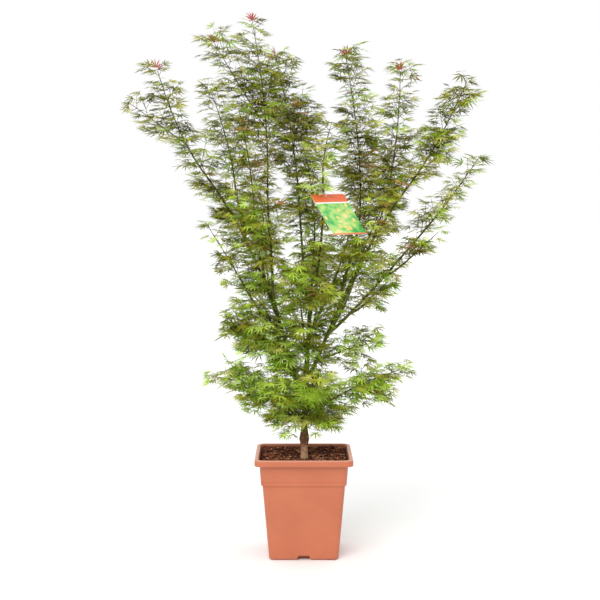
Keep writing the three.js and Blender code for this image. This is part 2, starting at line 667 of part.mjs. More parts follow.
// A leaf fits where it has room round it, keeps to its mass's space and touches no limb
function leafFits(leaf, mass, plant, ownLeaves) {
  const halfway = leaf.tips.map((tip) => tip.clone().lerp(leaf.centre, 0.5));
  const points = [leaf.centre, ...leaf.tips, ...halfway];
  const lines = leaf.tips.map((tip) => new THREE.Line3(leaf.centre, tip));
  leaf.outline.slice(1).forEach((point, i) => lines.push(new THREE.Line3(leaf.outline[i], point)));
  lines.push(new THREE.Line3(leaf.root, leaf.centre));
  return [...plant.leaves, ...ownLeaves].every((other) => other.centre.distanceTo(leaf.centre) > LEAF_SPACING)
    && keepsToSpace(points, mass, plant.masses)
    && clearOfLimbs(lines, plant.limbLines);
}

// Twigs and leaves leave a stem in opposite pairs, each pair at right angles to the one before
function growStem(stem, mass, plant, random, leaves) {
  const tryLeaf = (root, direction, stalk) => {
    for (const shrink of SHRINKS) {
      const size = LEAF_LENGTH * shrink * between(LEAF_SIZES, random());
      const leaf = makeLeaf(root, direction, stalk * shrink, random, size);
      if (leafFits(leaf, mass, plant, leaves)) {
        leaves.push(leaf);
        return leaf;
      }
    }
    return null;
  };
  const nodes = Math.max(2, Math.round(stem.curve.getLength() / NODE_SPACING));
  const firstTurn = random() * Math.PI;
  for (let node = 1; node <= nodes; node++) {
    const share = (node - FIRST_NODE) / nodes;
    const point = stem.curve.getPointAt(share);
    const tangent = stem.curve.getTangentAt(share);
    const across = new THREE.Vector3().crossVectors(tangent, UP);
    if (across.length() < 0.1) across.set(1, 0, 0);
    const turn = firstTurn + (node * Math.PI) / 2 + (random() - 0.5) * NODE_TURN;
    across.normalize().applyAxisAngle(tangent, turn);
    const reach = mass.spread * between(REACH_SHARES, share);
    for (const hand of [1, -1]) {
      const direction = across.clone().multiplyScalar(hand);
      direction.addScaledVector(tangent, between(TWIG_LEANS, random())).normalize();
      const stalkReach = (reach - LEAF_LENGTH * LEAF_OVERHANG) * between(STALK_SHARES, random());
      const stalk = Math.max(SHORT_STALK, stalkReach);
      const leaf = tryLeaf(point, direction, stalk);
      if (leaf && stalk > PAIR_FROM) {
        const sideways = new THREE.Vector3().crossVectors(direction, UP).normalize();
        for (const sideHand of [1, -1]) {
          const onTwig = point.clone().lerp(leaf.centre, SIDE_LEAF_AT + SIDE_LEAF_STAGGER * sideHand);
          const leafDirection = sideways.clone().multiplyScalar(sideHand);
          leafDirection.addScaledVector(direction, SIDE_LEAF_LEAN).normalize();
          tryLeaf(onTwig, leafDirection, SHORT_STALK);
        }
      }
    }
  }
  const end = stem.curve.getPointAt(1 - 1 / stem.curve.getLength());
  tryLeaf(end, stem.curve.getTangentAt(1), STALK_AT_TIP);
}

// A mass is grown from the next seed where its facets would run together at the precision of the model
function massSolid(mass, plant) {
  const stems = mass.stems.map(({ curve, rootRadius }) => {
    const steps = Math.max(2, Math.round(curve.getLength() / STEM_STEP));
    const radiusAt = (share) => THREE.MathUtils.lerp(rootRadius, STEM_TIP, share);
    return toSolid(tube(curve, steps, STEM_SIDES, radiusAt));
  });
  for (let attempt = 0; attempt < MOST_TRIES; attempt++) {
    const random = seeded(mass.seed + attempt);
    const leaves = [];
    mass.stems.forEach((stem) => growStem(stem, mass, plant, random, leaves));
    const fused = wasm.Manifold.union([...stems, ...leaves.map(leafSolid)]);
    const solid = mainPiece(mass.from ? seatOn(fused, plant.limbs.get(mass.from)) : fused);
    if (staysClosed(solid)) {
      plant.leaves.push(...leaves);
      return solid;
    }
  }
  throw new Error(`${mass.name} does not close`);
}

// The straight stretches that stand for a curve in the clearance tests
function linesAlong(curve, steps) {
  const points = curve.getSpacedPoints(steps);
  return points.slice(1).map((point, i) => new THREE.Line3(points[i], point));
}

// The whole plant before its solids are made: limbs, masses with their stems, and the card
function growPlant() {
  const trunk = makeTrunk();
  const limbs = new Map([["trunk", trunk]]);
  for (const limb of LIMBS) limbs.set(limb.name, makeLimb(limb, limbs.get(limb.from)));
  const massRows = [
    ...TRUNK_MASSES.map((row) => ({ ...row, name: `foliage_${row.name}`, carrier: "trunk" })),
    ...LIMBS.map(({ name, tips, spread }) => ({
      tips, spread, name: `foliage_${name.replace(/_(leader|limb)$/, "")}`, carrier: name })),
  ];
  const masses = massRows.map((row, i) => {
    const stems = massStems(row, limbs.get(row.carrier));
    return { ...row, stems, seed: 100 * (i + 1), lines: stems.flatMap(({ whole }) => linesAlong(whole, 6)) };
  });
  const limbLines = [...limbs.values()].flatMap(({ curve, radiusAt, steps }) =>
    linesAlong(curve, steps).map((line, i) => ({ line, radius: radiusAt(i / steps) })));
  const card = cardFrame(limbs.get("front_centre_limb"));
  return { limbs, masses, card, limbLines: [...limbLines, ...linesOnCard(card)], leaves: [] };
}

// Straight lines down the card, so close that no leaf passes between them
function linesOnCard({ hole, across, down }) {
  const count = Math.ceil(CARD_WIDTH / CARD_LINE_SPACING);
  return Array.from({ length: count + 1 }, (_, i) => {
    const top = hole.clone()
      .addScaledVector(across, (i / count) * CARD_WIDTH - HOLE_FROM_LEFT)
      .addScaledVector(down, -HOLE_FROM_TOP);
    const bottom = top.clone().addScaledVector(down, CARD_HEIGHT);
    return { line: new THREE.Line3(top, bottom), radius: CARD_LINE_SPACING / 2 };
  });
}

// A limb that leaves its parent's side is seated on it; one that goes on from its end is not
function limbSolid(limb, plant) {
  const solid = limb.solidWith(0);
  if (limb.name === "trunk" || limb.at === 1) return solid;
  return mainPiece(seatOn(solid, plant.limbs.get(limb.from)));
}

// The card hangs on its hole, in front of the limb that its tie goes round
function cardFrame(limb) {
  const stretch = linesAlong(limb.curve, limb.steps).at(-1);
  const knot = stretch.at(KNOT_SHARE, new THREE.Vector3());
  const axis = stretch.delta(new THREE.Vector3()).normalize();
  const across = new THREE.Vector3(...CARD_ACROSS).normalize();
  const normal = new THREE.Vector3(...CARD_DOWN).cross(across).normalize();
  const down = new THREE.Vector3().crossVectors(across, normal).normalize();
  const side = new THREE.Vector3().crossVectors(axis, normal).normalize();
  const front = new THREE.Vector3().crossVectors(side, axis).normalize();
  const hole = knot.clone()
    .addScaledVector(front, EDGE_FROM_KNOT)
    .addScaledVector(UP, -EDGE_FROM_KNOT)
    .addScaledVector(down, HOLE_FROM_TOP);
  return { knot, side, front, radius: limb.radiusAt(1 - 1 / limb.steps), across, down, normal, hole };
}

function cardSolid(frame) {
  const outline = new THREE.Shape();
  const [left, top] = [-HOLE_FROM_LEFT, HOLE_FROM_TOP];
  const [right, bottom] = [left + CARD_WIDTH, top - CARD_HEIGHT];
  outline.moveTo(left + CARD_CORNER, bottom);
  outline.lineTo(right - CARD_CORNER, bottom);
  outline.absarc(right - CARD_CORNER, bottom + CARD_CORNER, CARD_CORNER, -Math.PI / 2, 0);
  outline.absarc(right - CARD_CORNER, top - CARD_CORNER, CARD_CORNER, 0, Math.PI / 2);
  outline.absarc(left + CARD_CORNER, top - CARD_CORNER, CARD_CORNER, Math.PI / 2, Math.PI);
  outline.absarc(left + CARD_CORNER, bottom + CARD_CORNER, CARD_CORNER, Math.PI, 1.5 * Math.PI);
  outline.holes.push(new THREE.Path(polygon(HOLE_RADIUS, HOLE_SIDES)));
  const options = { depth: CARD_THICKNESS, bevelEnabled: false, curveSegments: 3 };
  const geometry = new THREE.ExtrudeGeometry(outline, options);
  geometry.translate(0, 0, -CARD_THICKNESS / 2);
  const up = frame.down.clone().negate();
  const place = new THREE.Matrix4().makeBasis(frame.across, up, frame.normal).setPosition(frame.hole);
  geometry.applyMatrix4(place);
  return toSolid(geometry);
}

// A thin plastic loop: round the limb, through the hole and back over the card's top edge. Its curve is
// closed, so the tube has no open ends
function tieSolid(frame) {
  const { knot, side, front, radius, down, normal, hole } = frame;
  const round = radius + TIE_RADIUS + 2 * GAP;
  const point = (origin, ...moves) => moves.reduce(
    (place, [direction, distance]) => place.addScaledVector(direction, distance), origin.clone());
  const seat = HOLE_RADIUS * Math.cos(Math.PI / HOLE_SIDES) - TIE_RADIUS - GAP;
  const roundLimb = [-90, -45, 0, 45, 90].map((degrees) => {
    const angle = THREE.MathUtils.degToRad(degrees);
    return point(knot, [front, -round * Math.cos(angle)], [side, round * Math.sin(angle)]);
  });
  const near = round * TIE_SLOPE;
  const beside = (hand) => point(knot, [side, hand * (round + GAP)], [front, near], [UP, -near]);
  const curve = new THREE.CatmullRomCurve3([
    beside(-1),
    ...roundLimb,
    beside(1),
    point(hole, [normal, -TIE_STAND_OFF], [down, -seat]),
    point(hole, [down, -seat]),
    point(hole, [normal, TIE_STAND_OFF], [down, -seat]),
    point(hole, [normal, TIE_STAND_OFF], [down, -HOLE_FROM_TOP]),
    point(hole, [down, -HOLE_FROM_TOP - TIE_STAND_OFF]),
  ], true, "centripetal");
  return toSolid(new THREE.TubeGeometry(curve, TIE_STEPS, TIE_RADIUS, TIE_SIDES, true));
}

function polygon(radius, sides) {
  return Array.from({ length: sides }, (_, i) => {
    const angle = (i / sides) * 2 * Math.PI;
    return new THREE.Vector2(radius * Math.cos(angle), radius * Math.sin(angle));
  });
}

function addPart(group, name, solid, finish) {
  const material = new THREE.MeshStandardMaterial({ ...finish, metalness: 0 });
  const mesh = new THREE.Mesh(toGeometry(solid), material);
  mesh.name = name;
  group.add(mesh);
}

const group = new THREE.Group();
const plant = growPlant();
addPart(group, "pot", potSolid(), TERRACOTTA);
addPart(group, "soil", soilSolid(), COMPOST);
for (const limb of plant.limbs.values()) {
  addPart(group, limb.name, limbSolid(limb, plant), limb.name === "trunk" ? BARK : GREEN_STEM);
}
for (const mass of plant.masses) {
  const [, , topHeight] = mass.tips[0];
  addPart(group, mass.name, massSolid(mass, plant), topHeight > OLIVE_FROM ? OLIVE_LEAVES : GREEN_LEAVES);
}
addPart(group, "hanging_card", cardSolid(plant.card), PRINTED_CARD);
addPart(group, "card_tie", tieSolid(plant.card), PALE_PLASTIC);

export default group;
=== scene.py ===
# The looks of a young Japanese maple in a square pot, made around its solid model. Lengths are in metres.
import json
import math
import random

import bpy
import numpy as np
from mathutils import Matrix, Vector, noise

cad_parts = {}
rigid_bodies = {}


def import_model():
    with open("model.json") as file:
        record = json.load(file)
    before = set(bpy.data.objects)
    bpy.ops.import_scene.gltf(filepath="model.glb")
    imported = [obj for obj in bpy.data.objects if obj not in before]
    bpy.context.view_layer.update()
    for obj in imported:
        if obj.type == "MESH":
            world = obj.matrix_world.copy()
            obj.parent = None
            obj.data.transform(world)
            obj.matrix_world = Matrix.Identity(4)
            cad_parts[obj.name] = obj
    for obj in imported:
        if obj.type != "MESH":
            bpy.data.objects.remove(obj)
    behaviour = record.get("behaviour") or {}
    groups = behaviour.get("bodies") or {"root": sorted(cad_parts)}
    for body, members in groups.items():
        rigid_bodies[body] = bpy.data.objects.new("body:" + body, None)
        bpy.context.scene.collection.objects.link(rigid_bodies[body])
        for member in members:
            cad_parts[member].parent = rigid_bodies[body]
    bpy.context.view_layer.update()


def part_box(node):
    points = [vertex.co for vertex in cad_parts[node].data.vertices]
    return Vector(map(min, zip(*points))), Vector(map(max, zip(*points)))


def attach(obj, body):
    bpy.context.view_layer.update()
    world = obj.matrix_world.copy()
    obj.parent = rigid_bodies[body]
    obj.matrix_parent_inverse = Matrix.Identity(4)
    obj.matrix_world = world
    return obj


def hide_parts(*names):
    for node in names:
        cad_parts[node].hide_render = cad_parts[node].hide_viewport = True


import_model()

MM = 0.001
UP = np.array([0.0, 0.0, 1.0])
RIGHT = np.array([1.0, 0.0, 0.0])
CURVE_POINTS = 40
NEARBY = 0.01
GAP = 0.3 * MM

# Directions that no stem or stalk runs along, each used to find one at right angles to it
TUBE_ASIDE = (0.31, 0.77, 0.55)
STALK_ASIDE = (0.2, 0.5, 0.84)
TIP_ASIDE = (0.1, 1.0, 0.2)

# The noise of every finish: its gloss against its colour, and the detail of its gloss and relief
GLOSS_SCALE = 1.7
GLOSS_DETAIL = 2
RELIEF_DETAIL = 3

# Stage: the camera stands in front of the plant, a little above its middle, and looks slightly down
CAMERA_PLACE = (-0.0117, -4.0, 1.075)
CAMERA_PITCH = math.radians(-4.05)
CAMERA_LENS = 77.6
SKY_LIGHT = 1.0
KEY_DIRECTION = (0.35, 1.0, -0.8)
KEY_STRENGTH = 1.6
KEY_SOFTNESS = math.radians(40)
FLOOR_REACH = 60

# Pot, measured from the solid model where it can be
POT_LOW, POT_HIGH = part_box("pot")
POT_HEIGHT = POT_HIGH.z
RIM_WIDTH = POT_HIGH.x - POT_LOW.x
RIM_DEPTH = 19 * MM
RIM_TOP_WIDTH = 12 * MM
RIM_ROUNDING = 5 * MM
LIP_ROUNDING = 1 * MM
MOUTH_ROUNDING = 3 * MM
BAND_TOP_WIDTH = 270 * MM
BAND_FOOT_WIDTH = 261 * MM
BAND_FOOT_HEIGHT = 234 * MM
BODY_TOP_WIDTH = 252 * MM
STEP_EDGE = 2 * MM
STEP_ROUNDING = 1.5 * MM
FOOT_WIDTH = 214 * MM
FOOT_ROUNDING = 5 * MM
GROOVE_ABOVE_STEP = 12 * MM
GROOVE_DEPTH = 0.7 * MM
GROOVE = [(0, -1 * MM), (GROOVE_DEPTH, -0.2 * MM), (GROOVE_DEPTH, 0.6 * MM), (0, 1.4 * MM)]
POT_WALL = 2.6 * MM
POT_FLOOR = 4 * MM
POT_CORNER = 22 * MM
CORNER_STEPS = 10
PAD_HEIGHT = 2 * MM
PAD_SIZE = (52 * MM, 24 * MM)
PAD_SPACING = 114 * MM
PAD_FROM_FRONT = 8 * MM
PAD_CORNER_SHARE = 0.12
PAD_CORNER_STEPS = 3
PAD_BEVEL = (0.8 * MM, 0.6 * MM)
CENTRE_PAD_RADIUS = 34 * MM
CENTRE_PAD_SIDES = 48
NOTCH_WIDTH = 46 * MM
NOTCH_TOP_WIDTH = 32 * MM
NOTCH_HEIGHT = 15 * MM
NOTCH_DEPTH = 26 * MM
HOUSING_INSET = 2 * MM
OVERLAP = 1 * MM
SHARP_EDGE = math.radians(32)
# Painted light: the top of the rim is painted paler, a highlight where the light falls on it.
RIM_TOP_PAINTED_LIGHT = (236, 178, 152)
RIM_TOP_LIGHT_SHARE = 0.6
RIM_TOP_LIGHT_DEPTHS = (3 * MM, 0.5 * MM)

# Soil. The scales of its lumps are counts to a metre, each read at a level of its own in the noise. Chip
# sizes are in millimetres.
SOIL_TOP = POT_HEIGHT - 16 * MM
SOIL_LUMPS = 4.5 * MM
SOIL_GRAIN = 0.4 * MM
COARSE_SCALE = 28
COARSE_LEVEL = 0.3
FINE_SCALE = 110
FINE_LEVEL = 1.7
COARSE_SHARE = 0.6
SOIL_CALM_REACH = 40 * MM
SOIL_BANK = 9 * MM
SOIL_BANK_POWER = 1.5
SOIL_ABOVE_STEP = 3 * MM
SOIL_EDGE = 3 * MM
SOIL_SHOULDER = (2 * MM, 9 * MM)
SOIL_RINGS = 44
SOIL_SIDE_POINTS = 30
CHIP_SIZES = ((5, 17), (3, 7), (1.0, 3.0))
GRAIN_SIZES = (1.2, 2.6)
CHIP_UNEVENNESS = 0.35
CHIP_TILT = 0.5
CHIP_LIFT = 0.2
CHIP_MARGIN = 7 * MM
CHIP_SEED = 31
CHIPS = {
    "dark": (800, [(32, 12, 6), (70, 31, 17)]),
    "brown": (620, [(96, 45, 25), (140, 75, 45)]),
    "tan": (210, [(152, 94, 62), (204, 148, 108)]),
    "pale": (70, [(196, 184, 168), (226, 220, 208)]),
}

# Trunk. A pattern is how far round and how fast upward noise is read for a relief.
TRUNK_FOOT = (1 * MM, -30 * MM)
TRUNK_FORK = (6 * MM, -12 * MM, 512 * MM)
TRUNK_SUNK = 3 * MM
TRUNK_SIDES = 40
TRUNK_RINGS = 110
TRUNK_RADIUS = 10.5 * MM
TRUNK_TAPER = 1 * MM
FLARE = 2 * MM
FLARE_HEIGHT = 0.1
GRAFT_SHARE = 0.3
GRAFT_SWELL = 4.5 * MM
GRAFT_LENGTH = 0.09
BARK_RELIEF = 1.1 * MM
SMOOTH_BARK = 0.15
BURR_REACH = 0.13
BURR_SHARE = 0.6
BURR_PATTERN = (7, 210)
FURROW_SHARE = 0.5
FURROW_FALL = 6
FURROW_PATTERN = (3, 45)
BARK_COLOURS = [(200, 164, 130), (186, 146, 112), (118, 72, 44), (108, 68, 38), (116, 122, 48),
                (124, 136, 52)]
BARK_WAVER = 50 * MM
# Painted shade: young bark darkens toward this height as if shaded by the crown, and also turns browner.
BROWN_AND_SHADE_FROM = 1.25

# Limbs
LIMB_SIDES = 10
LIMB_RING_SPACING = 14 * MM
FEWEST_LIMB_RINGS = 8
LIMB_TIP = 2.8 * MM
LIMB_RELIEF = 0.05
LIMB_PATTERN = (1, 60)
TAPER = 1.3
TURN_SHARE = 0.4
FORK_ANGLE = math.radians(40)
FORK_REACH = 50 * MM
BOW_AT = 0.6
BUD_SCAR_SPACING = 62 * MM
BUD_SCAR_SWELL = 0.16
BUD_SCAR_LENGTH = 0.06

# Stems of a mass. A lean is how far a shoot goes along what it grows from, against how far it goes sideways.
STEM_RISE = 0.3
SIDE_STEM_FROM = 0.05
SIDE_STEM_STEP = 0.22
SIDE_STEM_ROOT = 0.75
STEM_TIP = 1.0 * MM
STEM_SIDES = 6
STEM_RING_SPACING = 25 * MM
FEWEST_STEM_RINGS = 4
STEM_REACH_POINTS = 7
LIMB_REACH_POINTS = 9
SHORTEST_STEM_SHARE = 0.35
TIP_ROOM = 1.25
NODE_SPACING = 32.5 * MM
NODE_BACK = 0.35
NODE_PLAY = 0.25
REACH_AT_ROOT = 1.15
REACH_FALL = 0.5
SHOOT_LEAN = (0.5, 1.2)
TIP_LEAN = 0.8
TIP_SPREAD = 0.25
TIP_LEAF_SHARE = 0.75

# Twigs and shoots
TWIG_RADIUS = 1.0 * MM
TWIG_TIP = 0.55 * MM
TWIG_RINGS = 4
TWIG_SIDES = 3
TWIG_RISE = 0.22
TWIG_LENGTHS = (0.4, 1.3)
SHORTEST_TWIG = 20 * MM
TWIG_NODE_SPACING = 25 * MM
PAIR_PLACES = (0.5, 1.0)
PAIR_ROOM = 0.2
PAIR_TURN = 1.2
PAIR_PLAY = 0.5
SIDE_SHOOT_FROM = 36 * MM
SIDE_SHOOT_SPACING = 34 * MM
SIDE_SHOOT_LENGTH = 27 * MM
SIDE_SHOOT_LENGTHS = (0.7, 1.3)
SIDE_SHOOT_PLACES = (0.35, 0.85)
SIDE_SHOOT_ROOM = 0.3
SIDE_SHOOT_TURN = 1.1
LIMB_SHOOTS_FROM = 0.1
LIMB_SHOOT_SPACING = 46 * MM
LIMB_SHOOT_LENGTH = 70 * MM
LIMB_SHOOT_LENGTHS = (0.5, 1.1)
LIMB_SHOOT_PLACES = (0.2, 0.8)
TRUNK_SHOOTS = 4
TRUNK_SHOOT_SPREAD = 0.1
TRUNK_SHOOT_RISE = 0.6
TRUNK_SHOOT_LENGTHS = (0.6, 1.1)

# Leaves. Lobe lengths, reaches, widths and the hang of the tips are shares of the leaf's length. Fold is the
# slope of a lobe's sides. Lobe angles and droops are in degrees, and other turns in radians.
LOBE_ANGLES = (-90, -58, -28, 0, 28, 58, 90)
LOBE_LENGTHS = (0.46, 0.8, 0.96, 1.0, 0.96, 0.8, 0.46)
LOBE_ANGLE_PLAY = 6
LOBE_LENGTH_PLAY = (0.88, 1.06)
LOBE_MIDDLE = 0.5
LOBE_FOOT = 0.16
LOBE_HALF_WIDTH = 0.063
NOTCH_FROM = 0.05
NOTCH_REACH = 0.1
LEAF_BASE_TURN = 0.5
LEAF_BASE_REACH = 0.07
LEAF_HANG = (0, 0.3)
LEAF_FOLD = (0.2, 0.7)
LEAF_LENGTH = 43 * MM
LEAF_VARIANTS = 36
LEAF_SEED = 7
MASS_SEED_STEP = 100
LEAF_SIZES = (0.75, 1.25)
TIP_LEAF_SIZES = (0.6, 0.95)
TIP_LEAF_RISE = 0.15
LOW_LEAF_SIZE = 0.97
HIGH_LEAF_LOSS = 0.07
OUTER_LEAF_LOSS = 0.12
LEAF_LEAN = (0.3, 1.1)
LEAF_SWING = 0.45
LEAF_TILT = 0.3
LEAF_DROOP = (-22, 24)
LOW_LEAF_DROOP = 10
YOUNG_LEAF_DROOP = (-80, -45)
UPRIGHT = 0.2
STEEP = 0.1
STALK_LENGTH = (10 * MM, 22 * MM)
STALK_RADIUS = 0.42 * MM
STALK_TAPER = 0.7
YOUNG_FROM = 1.5
LOWEST_LEAF = POT_HEIGHT + 40 * MM
LOW_CROWN = 0.42
CROWN_RISE = 0.75

# Hanging card, the room that leaves give it, and its tie
CARD_SIZE = (114 * MM, 163 * MM)
CARD_CORNER = 4 * MM
CARD_CORNER_STEPS = 5
CARD_THICKNESS = 0.8 * MM
CARD_ACROSS = (97, 60, 3)
CARD_DOWN = (63, -97, -115)
LEAVES_OVER_LEFT = 32 * MM
LEAVES_OVER_RIGHT = 8 * MM
LEAVES_OVER_ENDS = 4 * MM
LEAVES_OFF_CARD = 8 * MM
LEAVES_BEHIND_FROM = -30 * MM
LEAVES_BEFORE_FROM = 300 * MM
BLOSSOM_SCALE = 5.5
BLOSSOMS = [(0.26, (232, 206, 112)), (0.1, (226, 120, 60))]
BANDS = [
    ("GREATER_THAN", 0.77, (246, 244, 240)),
    ("GREATER_THAN", 0.80, (232, 108, 62)),
    ("LESS_THAN", 0.035, (224, 120, 66)),
]
HOLE_RADIUS = 3 * MM
HOLE_SIDES = 24
HOLE_FROM_LEFT = 48 * MM
HOLE_FROM_TOP = 9 * MM
CARD_LIMB = "front_centre_limb"
CARD_LIMB_STEP = 85 * MM
FEWEST_LIMB_STEPS = 4
KNOT_SHARE = 0.6
TIE_RADIUS = 0.8 * MM
TIE_STAND_OFF = 4 * MM
TIE_SLOPE = 0.8
TIE_TURNS = np.radians([-90, -45, 0, 45, 90])

# Each limb: what it grows from, the share of that at which it leaves, where it ends, how far its middle
# bows outward, its radius at the root, then its mass of foliage: the tips of its stems, how wide it spreads,
# and its growth, which is how many twigs its stems and its limb bear and how long they are, beside the
# usual. Lengths are the source's own, in millimetres.
LIMB_COLUMNS = ("name", "parent", "at", "end", "bow", "radius", "tips", "spread", "growth")
LIMB_ROWS = [
    ("left_leader", "trunk", 0.8, (-305, 12, 1180), -95, 7,
     [(-462, 0, 1545), (-565, -15, 1420)], 115, (0.85, 4.2, 0.95)),
    ("centre_leader", "trunk", 1, (32, 18, 960), 0, 8,
     [(0, 45, 1270), (-60, 10, 1140)], 115, (1, 1, 1)),
    ("right_leader", "centre_leader", 0.06, (325, -35, 1150), -60, 6.6,
     [(512, -60, 1505), (435, -110, 1330)], 110, (1.7, 1.3, 0.95)),
    ("far_right_leader", "right_leader", 0.24, (372, 12, 1005), 10, 5,
     [(566, 10, 1270)], 95, (1.5, 1.6, 0.95)),
    ("top_leader", "left_leader", 0.44, (-112, 20, 1175), 8, 5,
     [(-167, 20, 1697), (-296, -45, 1615)], 130, (1, 1, 1.05)),
    ("top_right_leader", "centre_leader", 0.55, (-18, 105, 1140), 18, 4.6,
     [(-100, 125, 1605), (0, 150, 1450)], 125, (1.2, 1.3, 1.1)),
    ("upper_left_limb", "left_leader", 0.7, (-215, 65, 1150), 6, 4.6,
     [(-310, 125, 1490)], 110, (1.15, 0.8, 1)),
    ("front_left_limb", "left_leader", 0.5, (-150, -85, 1050), 14, 4.8,
     [(-205, -165, 1420)], 110, (0.6, 0.5, 1)),
    ("centre_right_leader", "right_leader", 0.4, (172, -45, 1080), 20, 5.4,
     [(116, -65, 1582)], 120, (1.45, 1, 1)),
    ("right_spire_limb", "right_leader", 0.34, (238, 55, 1040), 16, 5,
     [(303, 95, 1550)], 110, (1.5, 1, 1.05)),
    ("front_centre_limb", "centre_leader", 0.45, (55, -215, 1158), 90, 4.8,
     [(92, -225, 1362)], 115, (1, 1, 1)),
    ("small_left_limb", "left_leader", 0.28, (-180, -15, 830), 14, 4.4,
     [(-324, -40, 1068), (-270, -60, 950)], 90, (1.05, 0.6, 0.95)),
    ("middle_left_limb", "left_leader", 0.2, (-110, 55, 735), 12, 4.2,
     [(-285, 150, 850), (-262, 50, 790)], 115, (0.55, 0.6, 0.85)),
    ("low_left_limb", "left_leader", 0.1, (-80, -50, 630), 8, 4.2,
     [(-268, -125, 745), (-215, -70, 690)], 110, (1.8, 3.4, 1.2)),
    ("bottom_left_limb", "trunk", 0.72, (-72, -24, 492), 6, 4.4,
     [(-338, -30, 562), (-215, -70, 470), (-205, -10, 625)], 95, (1.5, 1.9, 1.1)),
    ("bottom_right_limb", "trunk", 0.66, (100, -16, 490), 6, 4.4,
     [(362, -15, 596), (290, 20, 465), (205, -95, 535)], 90, (1.9, 3, 1.2)),
    ("low_right_limb", "right_leader", 0.1, (105, 38, 622), 4, 4,
     [(276, 75, 660), (255, -20, 715)], 100, (0.95, 3.2, 0.95)),
    ("outer_right_limb", "far_right_leader", 0.55, (305, -40, 905), 6, 3.6,
     [(440, -125, 1040), (355, -150, 985)], 100, (0.5, 0.5, 0.7)),
    ("middle_right_limb", "far_right_leader", 0.2, (190, 38, 775), 8, 3.8,
     [(320, 120, 890), (262, 30, 850)], 110, (0.75, 0.6, 0.75)),
    ("front_middle_limb", "centre_leader", 0.2, (-5, -100, 740), 12, 4.4,
     [(-35, -340, 900), (90, -290, 850)], 125, (0.85, 2.2, 0.95)),
    ("back_middle_limb", "centre_leader", 0.28, (45, 115, 775), 12, 4.6,
     [(70, 390, 960), (-60, 330, 880)], 135, (1, 1, 1)),
    ("back_left_limb", "left_leader", 0.36, (-120, 150, 920), 22, 4.8,
     [(-190, 370, 1260), (-290, 250, 1120)], 135, (0.55, 0.5, 0.9)),
    ("back_right_limb", "centre_leader", 0.38, (125, 150, 920), 24, 4.8,
     [(235, 360, 1270), (320, 240, 1130)], 135, (0.6, 0.6, 0.9)),
    ("front_upper_limb", "left_leader", 0.3, (-95, -135, 880), 20, 4.6,
     [(-140, -345, 1160), (-225, -260, 1060)], 125, (0.8, 0.7, 0.95)),
    ("front_right_limb", "right_leader", 0.2, (150, -125, 860), 18, 4.6,
     [(245, -335, 1130), (150, -330, 1000)], 125, (0.75, 0.7, 0.9)),
]
LIMBS = [dict(zip(LIMB_COLUMNS, row)) for row in LIMB_ROWS]

# Masses that grow straight from the trunk
TRUNK_MASS_COLUMNS = ("name", "at", "tips", "spread", "growth")
TRUNK_MASS_ROWS = [
    ("skirt_left", 0.52, [(-145, -40, 418), (-105, 70, 445)], 95, (1.2, 1, 1.1)),
    ("skirt_right", 0.56, [(140, -50, 425), (80, -125, 430)], 95, (1.5, 1, 1.15)),
    ("skirt_front", 0.82, [(35, -285, 590), (-105, -185, 520)], 120, (0.45, 1, 1.1)),
    ("skirt_back", 0.78, [(-25, 265, 560), (120, 190, 520)], 125, (0.9, 1, 1.1)),
    ("skirt_rear", 0.62, [(-245, 135, 575), (-140, 165, 500)], 115, (1, 1, 1)),
]
TRUNK_MASSES = [dict(zip(TRUNK_MASS_COLUMNS, row)) for row in TRUNK_MASS_ROWS]

# Families of leaf tints, each from dark to light: a tint's colour, then how often a spray has it at the
# foot and at the top of the crown
LEAF_FAMILIES = [
    {
        "deep_olive": ((102, 107, 25), 0.03, 0.16),
        "olive": ((143, 145, 40), 0.06, 0.27),
        "yellow_olive": ((170, 170, 57), 0.08, 0.23),
        "light_olive": ((196, 198, 98), 0.08, 0.11),
    },
    {
        # Painted light: these greens, dealt mostly low in the crown, are lighter than the leaves' own green,
        # making up for the shade of the crown above.
        "moss_green": ((138, 170, 45), 0.24, 0.10),
        "mid_green": ((188, 213, 76), 0.25, 0.08),
        "fresh_green": ((196, 226, 94), 0.18, 0.02),
        "bright_green": ((206, 229, 124), 0.07, 0.0),
    },
    {
        "bronze": ((152, 118, 50), 0.005, 0.018),
        "orange_brown": ((188, 134, 84), 0.0, 0.005),
    },
    {
        "young_red": ((180, 84, 74), 0.0, 0.0),
    },
]
LEAF_TINTS = {name: row for family in LEAF_FAMILIES for name, row in family.items()}
OTHER_TINT_SHARE = 0.4


def linear(colour):
    """An sRGB colour of 0 to 255 as linear light of 0 to 1, with alpha."""
    shares = [value / 255 for value in colour]
    light = [share / 12.92 if share <= 0.04045 else ((share + 0.055) / 1.055) ** 2.4 for share in shares]
    return (*light, 1.0)


def unit(vector):
    return vector / np.linalg.norm(vector)


def turned(vector, axis, angle):
    """A vector turned round an axis of length 1."""
    return (vector * math.cos(angle) + np.cross(axis, vector) * math.sin(angle)
            + axis * (axis @ vector) * (1 - math.cos(angle)))


def full_turn(count):
    """Angles evenly round a circle."""
    return np.linspace(0, math.tau, count, endpoint=False)


def arc(centre, radius, angles):
    return [(centre[0] + radius * math.cos(a), centre[1] + radius * math.sin(a)) for a in angles]


def rounded_rectangle(width, depth, corner, corner_steps):
    """The outline of a rectangle with round corners, counterclockwise."""
    outline = []
    for side in range(4):
        start = side * math.pi / 2
        middle = ((width / 2 - corner) * (math.cos(start) - math.sin(start)),
                  (depth / 2 - corner) * (math.sin(start) + math.cos(start)))
        outline += arc(middle, corner, [start + step / corner_steps * math.pi / 2
                                        for step in range(corner_steps + 1)])
    return outline


def at_height(outline, height):
    return np.array([(x, y, height) for x, y in outline])


def aside(ahead, turn):
    """A direction at right angles to another, which is level before it is turned round that."""
    return turned(unit(np.cross(ahead, UP)), ahead, turn)


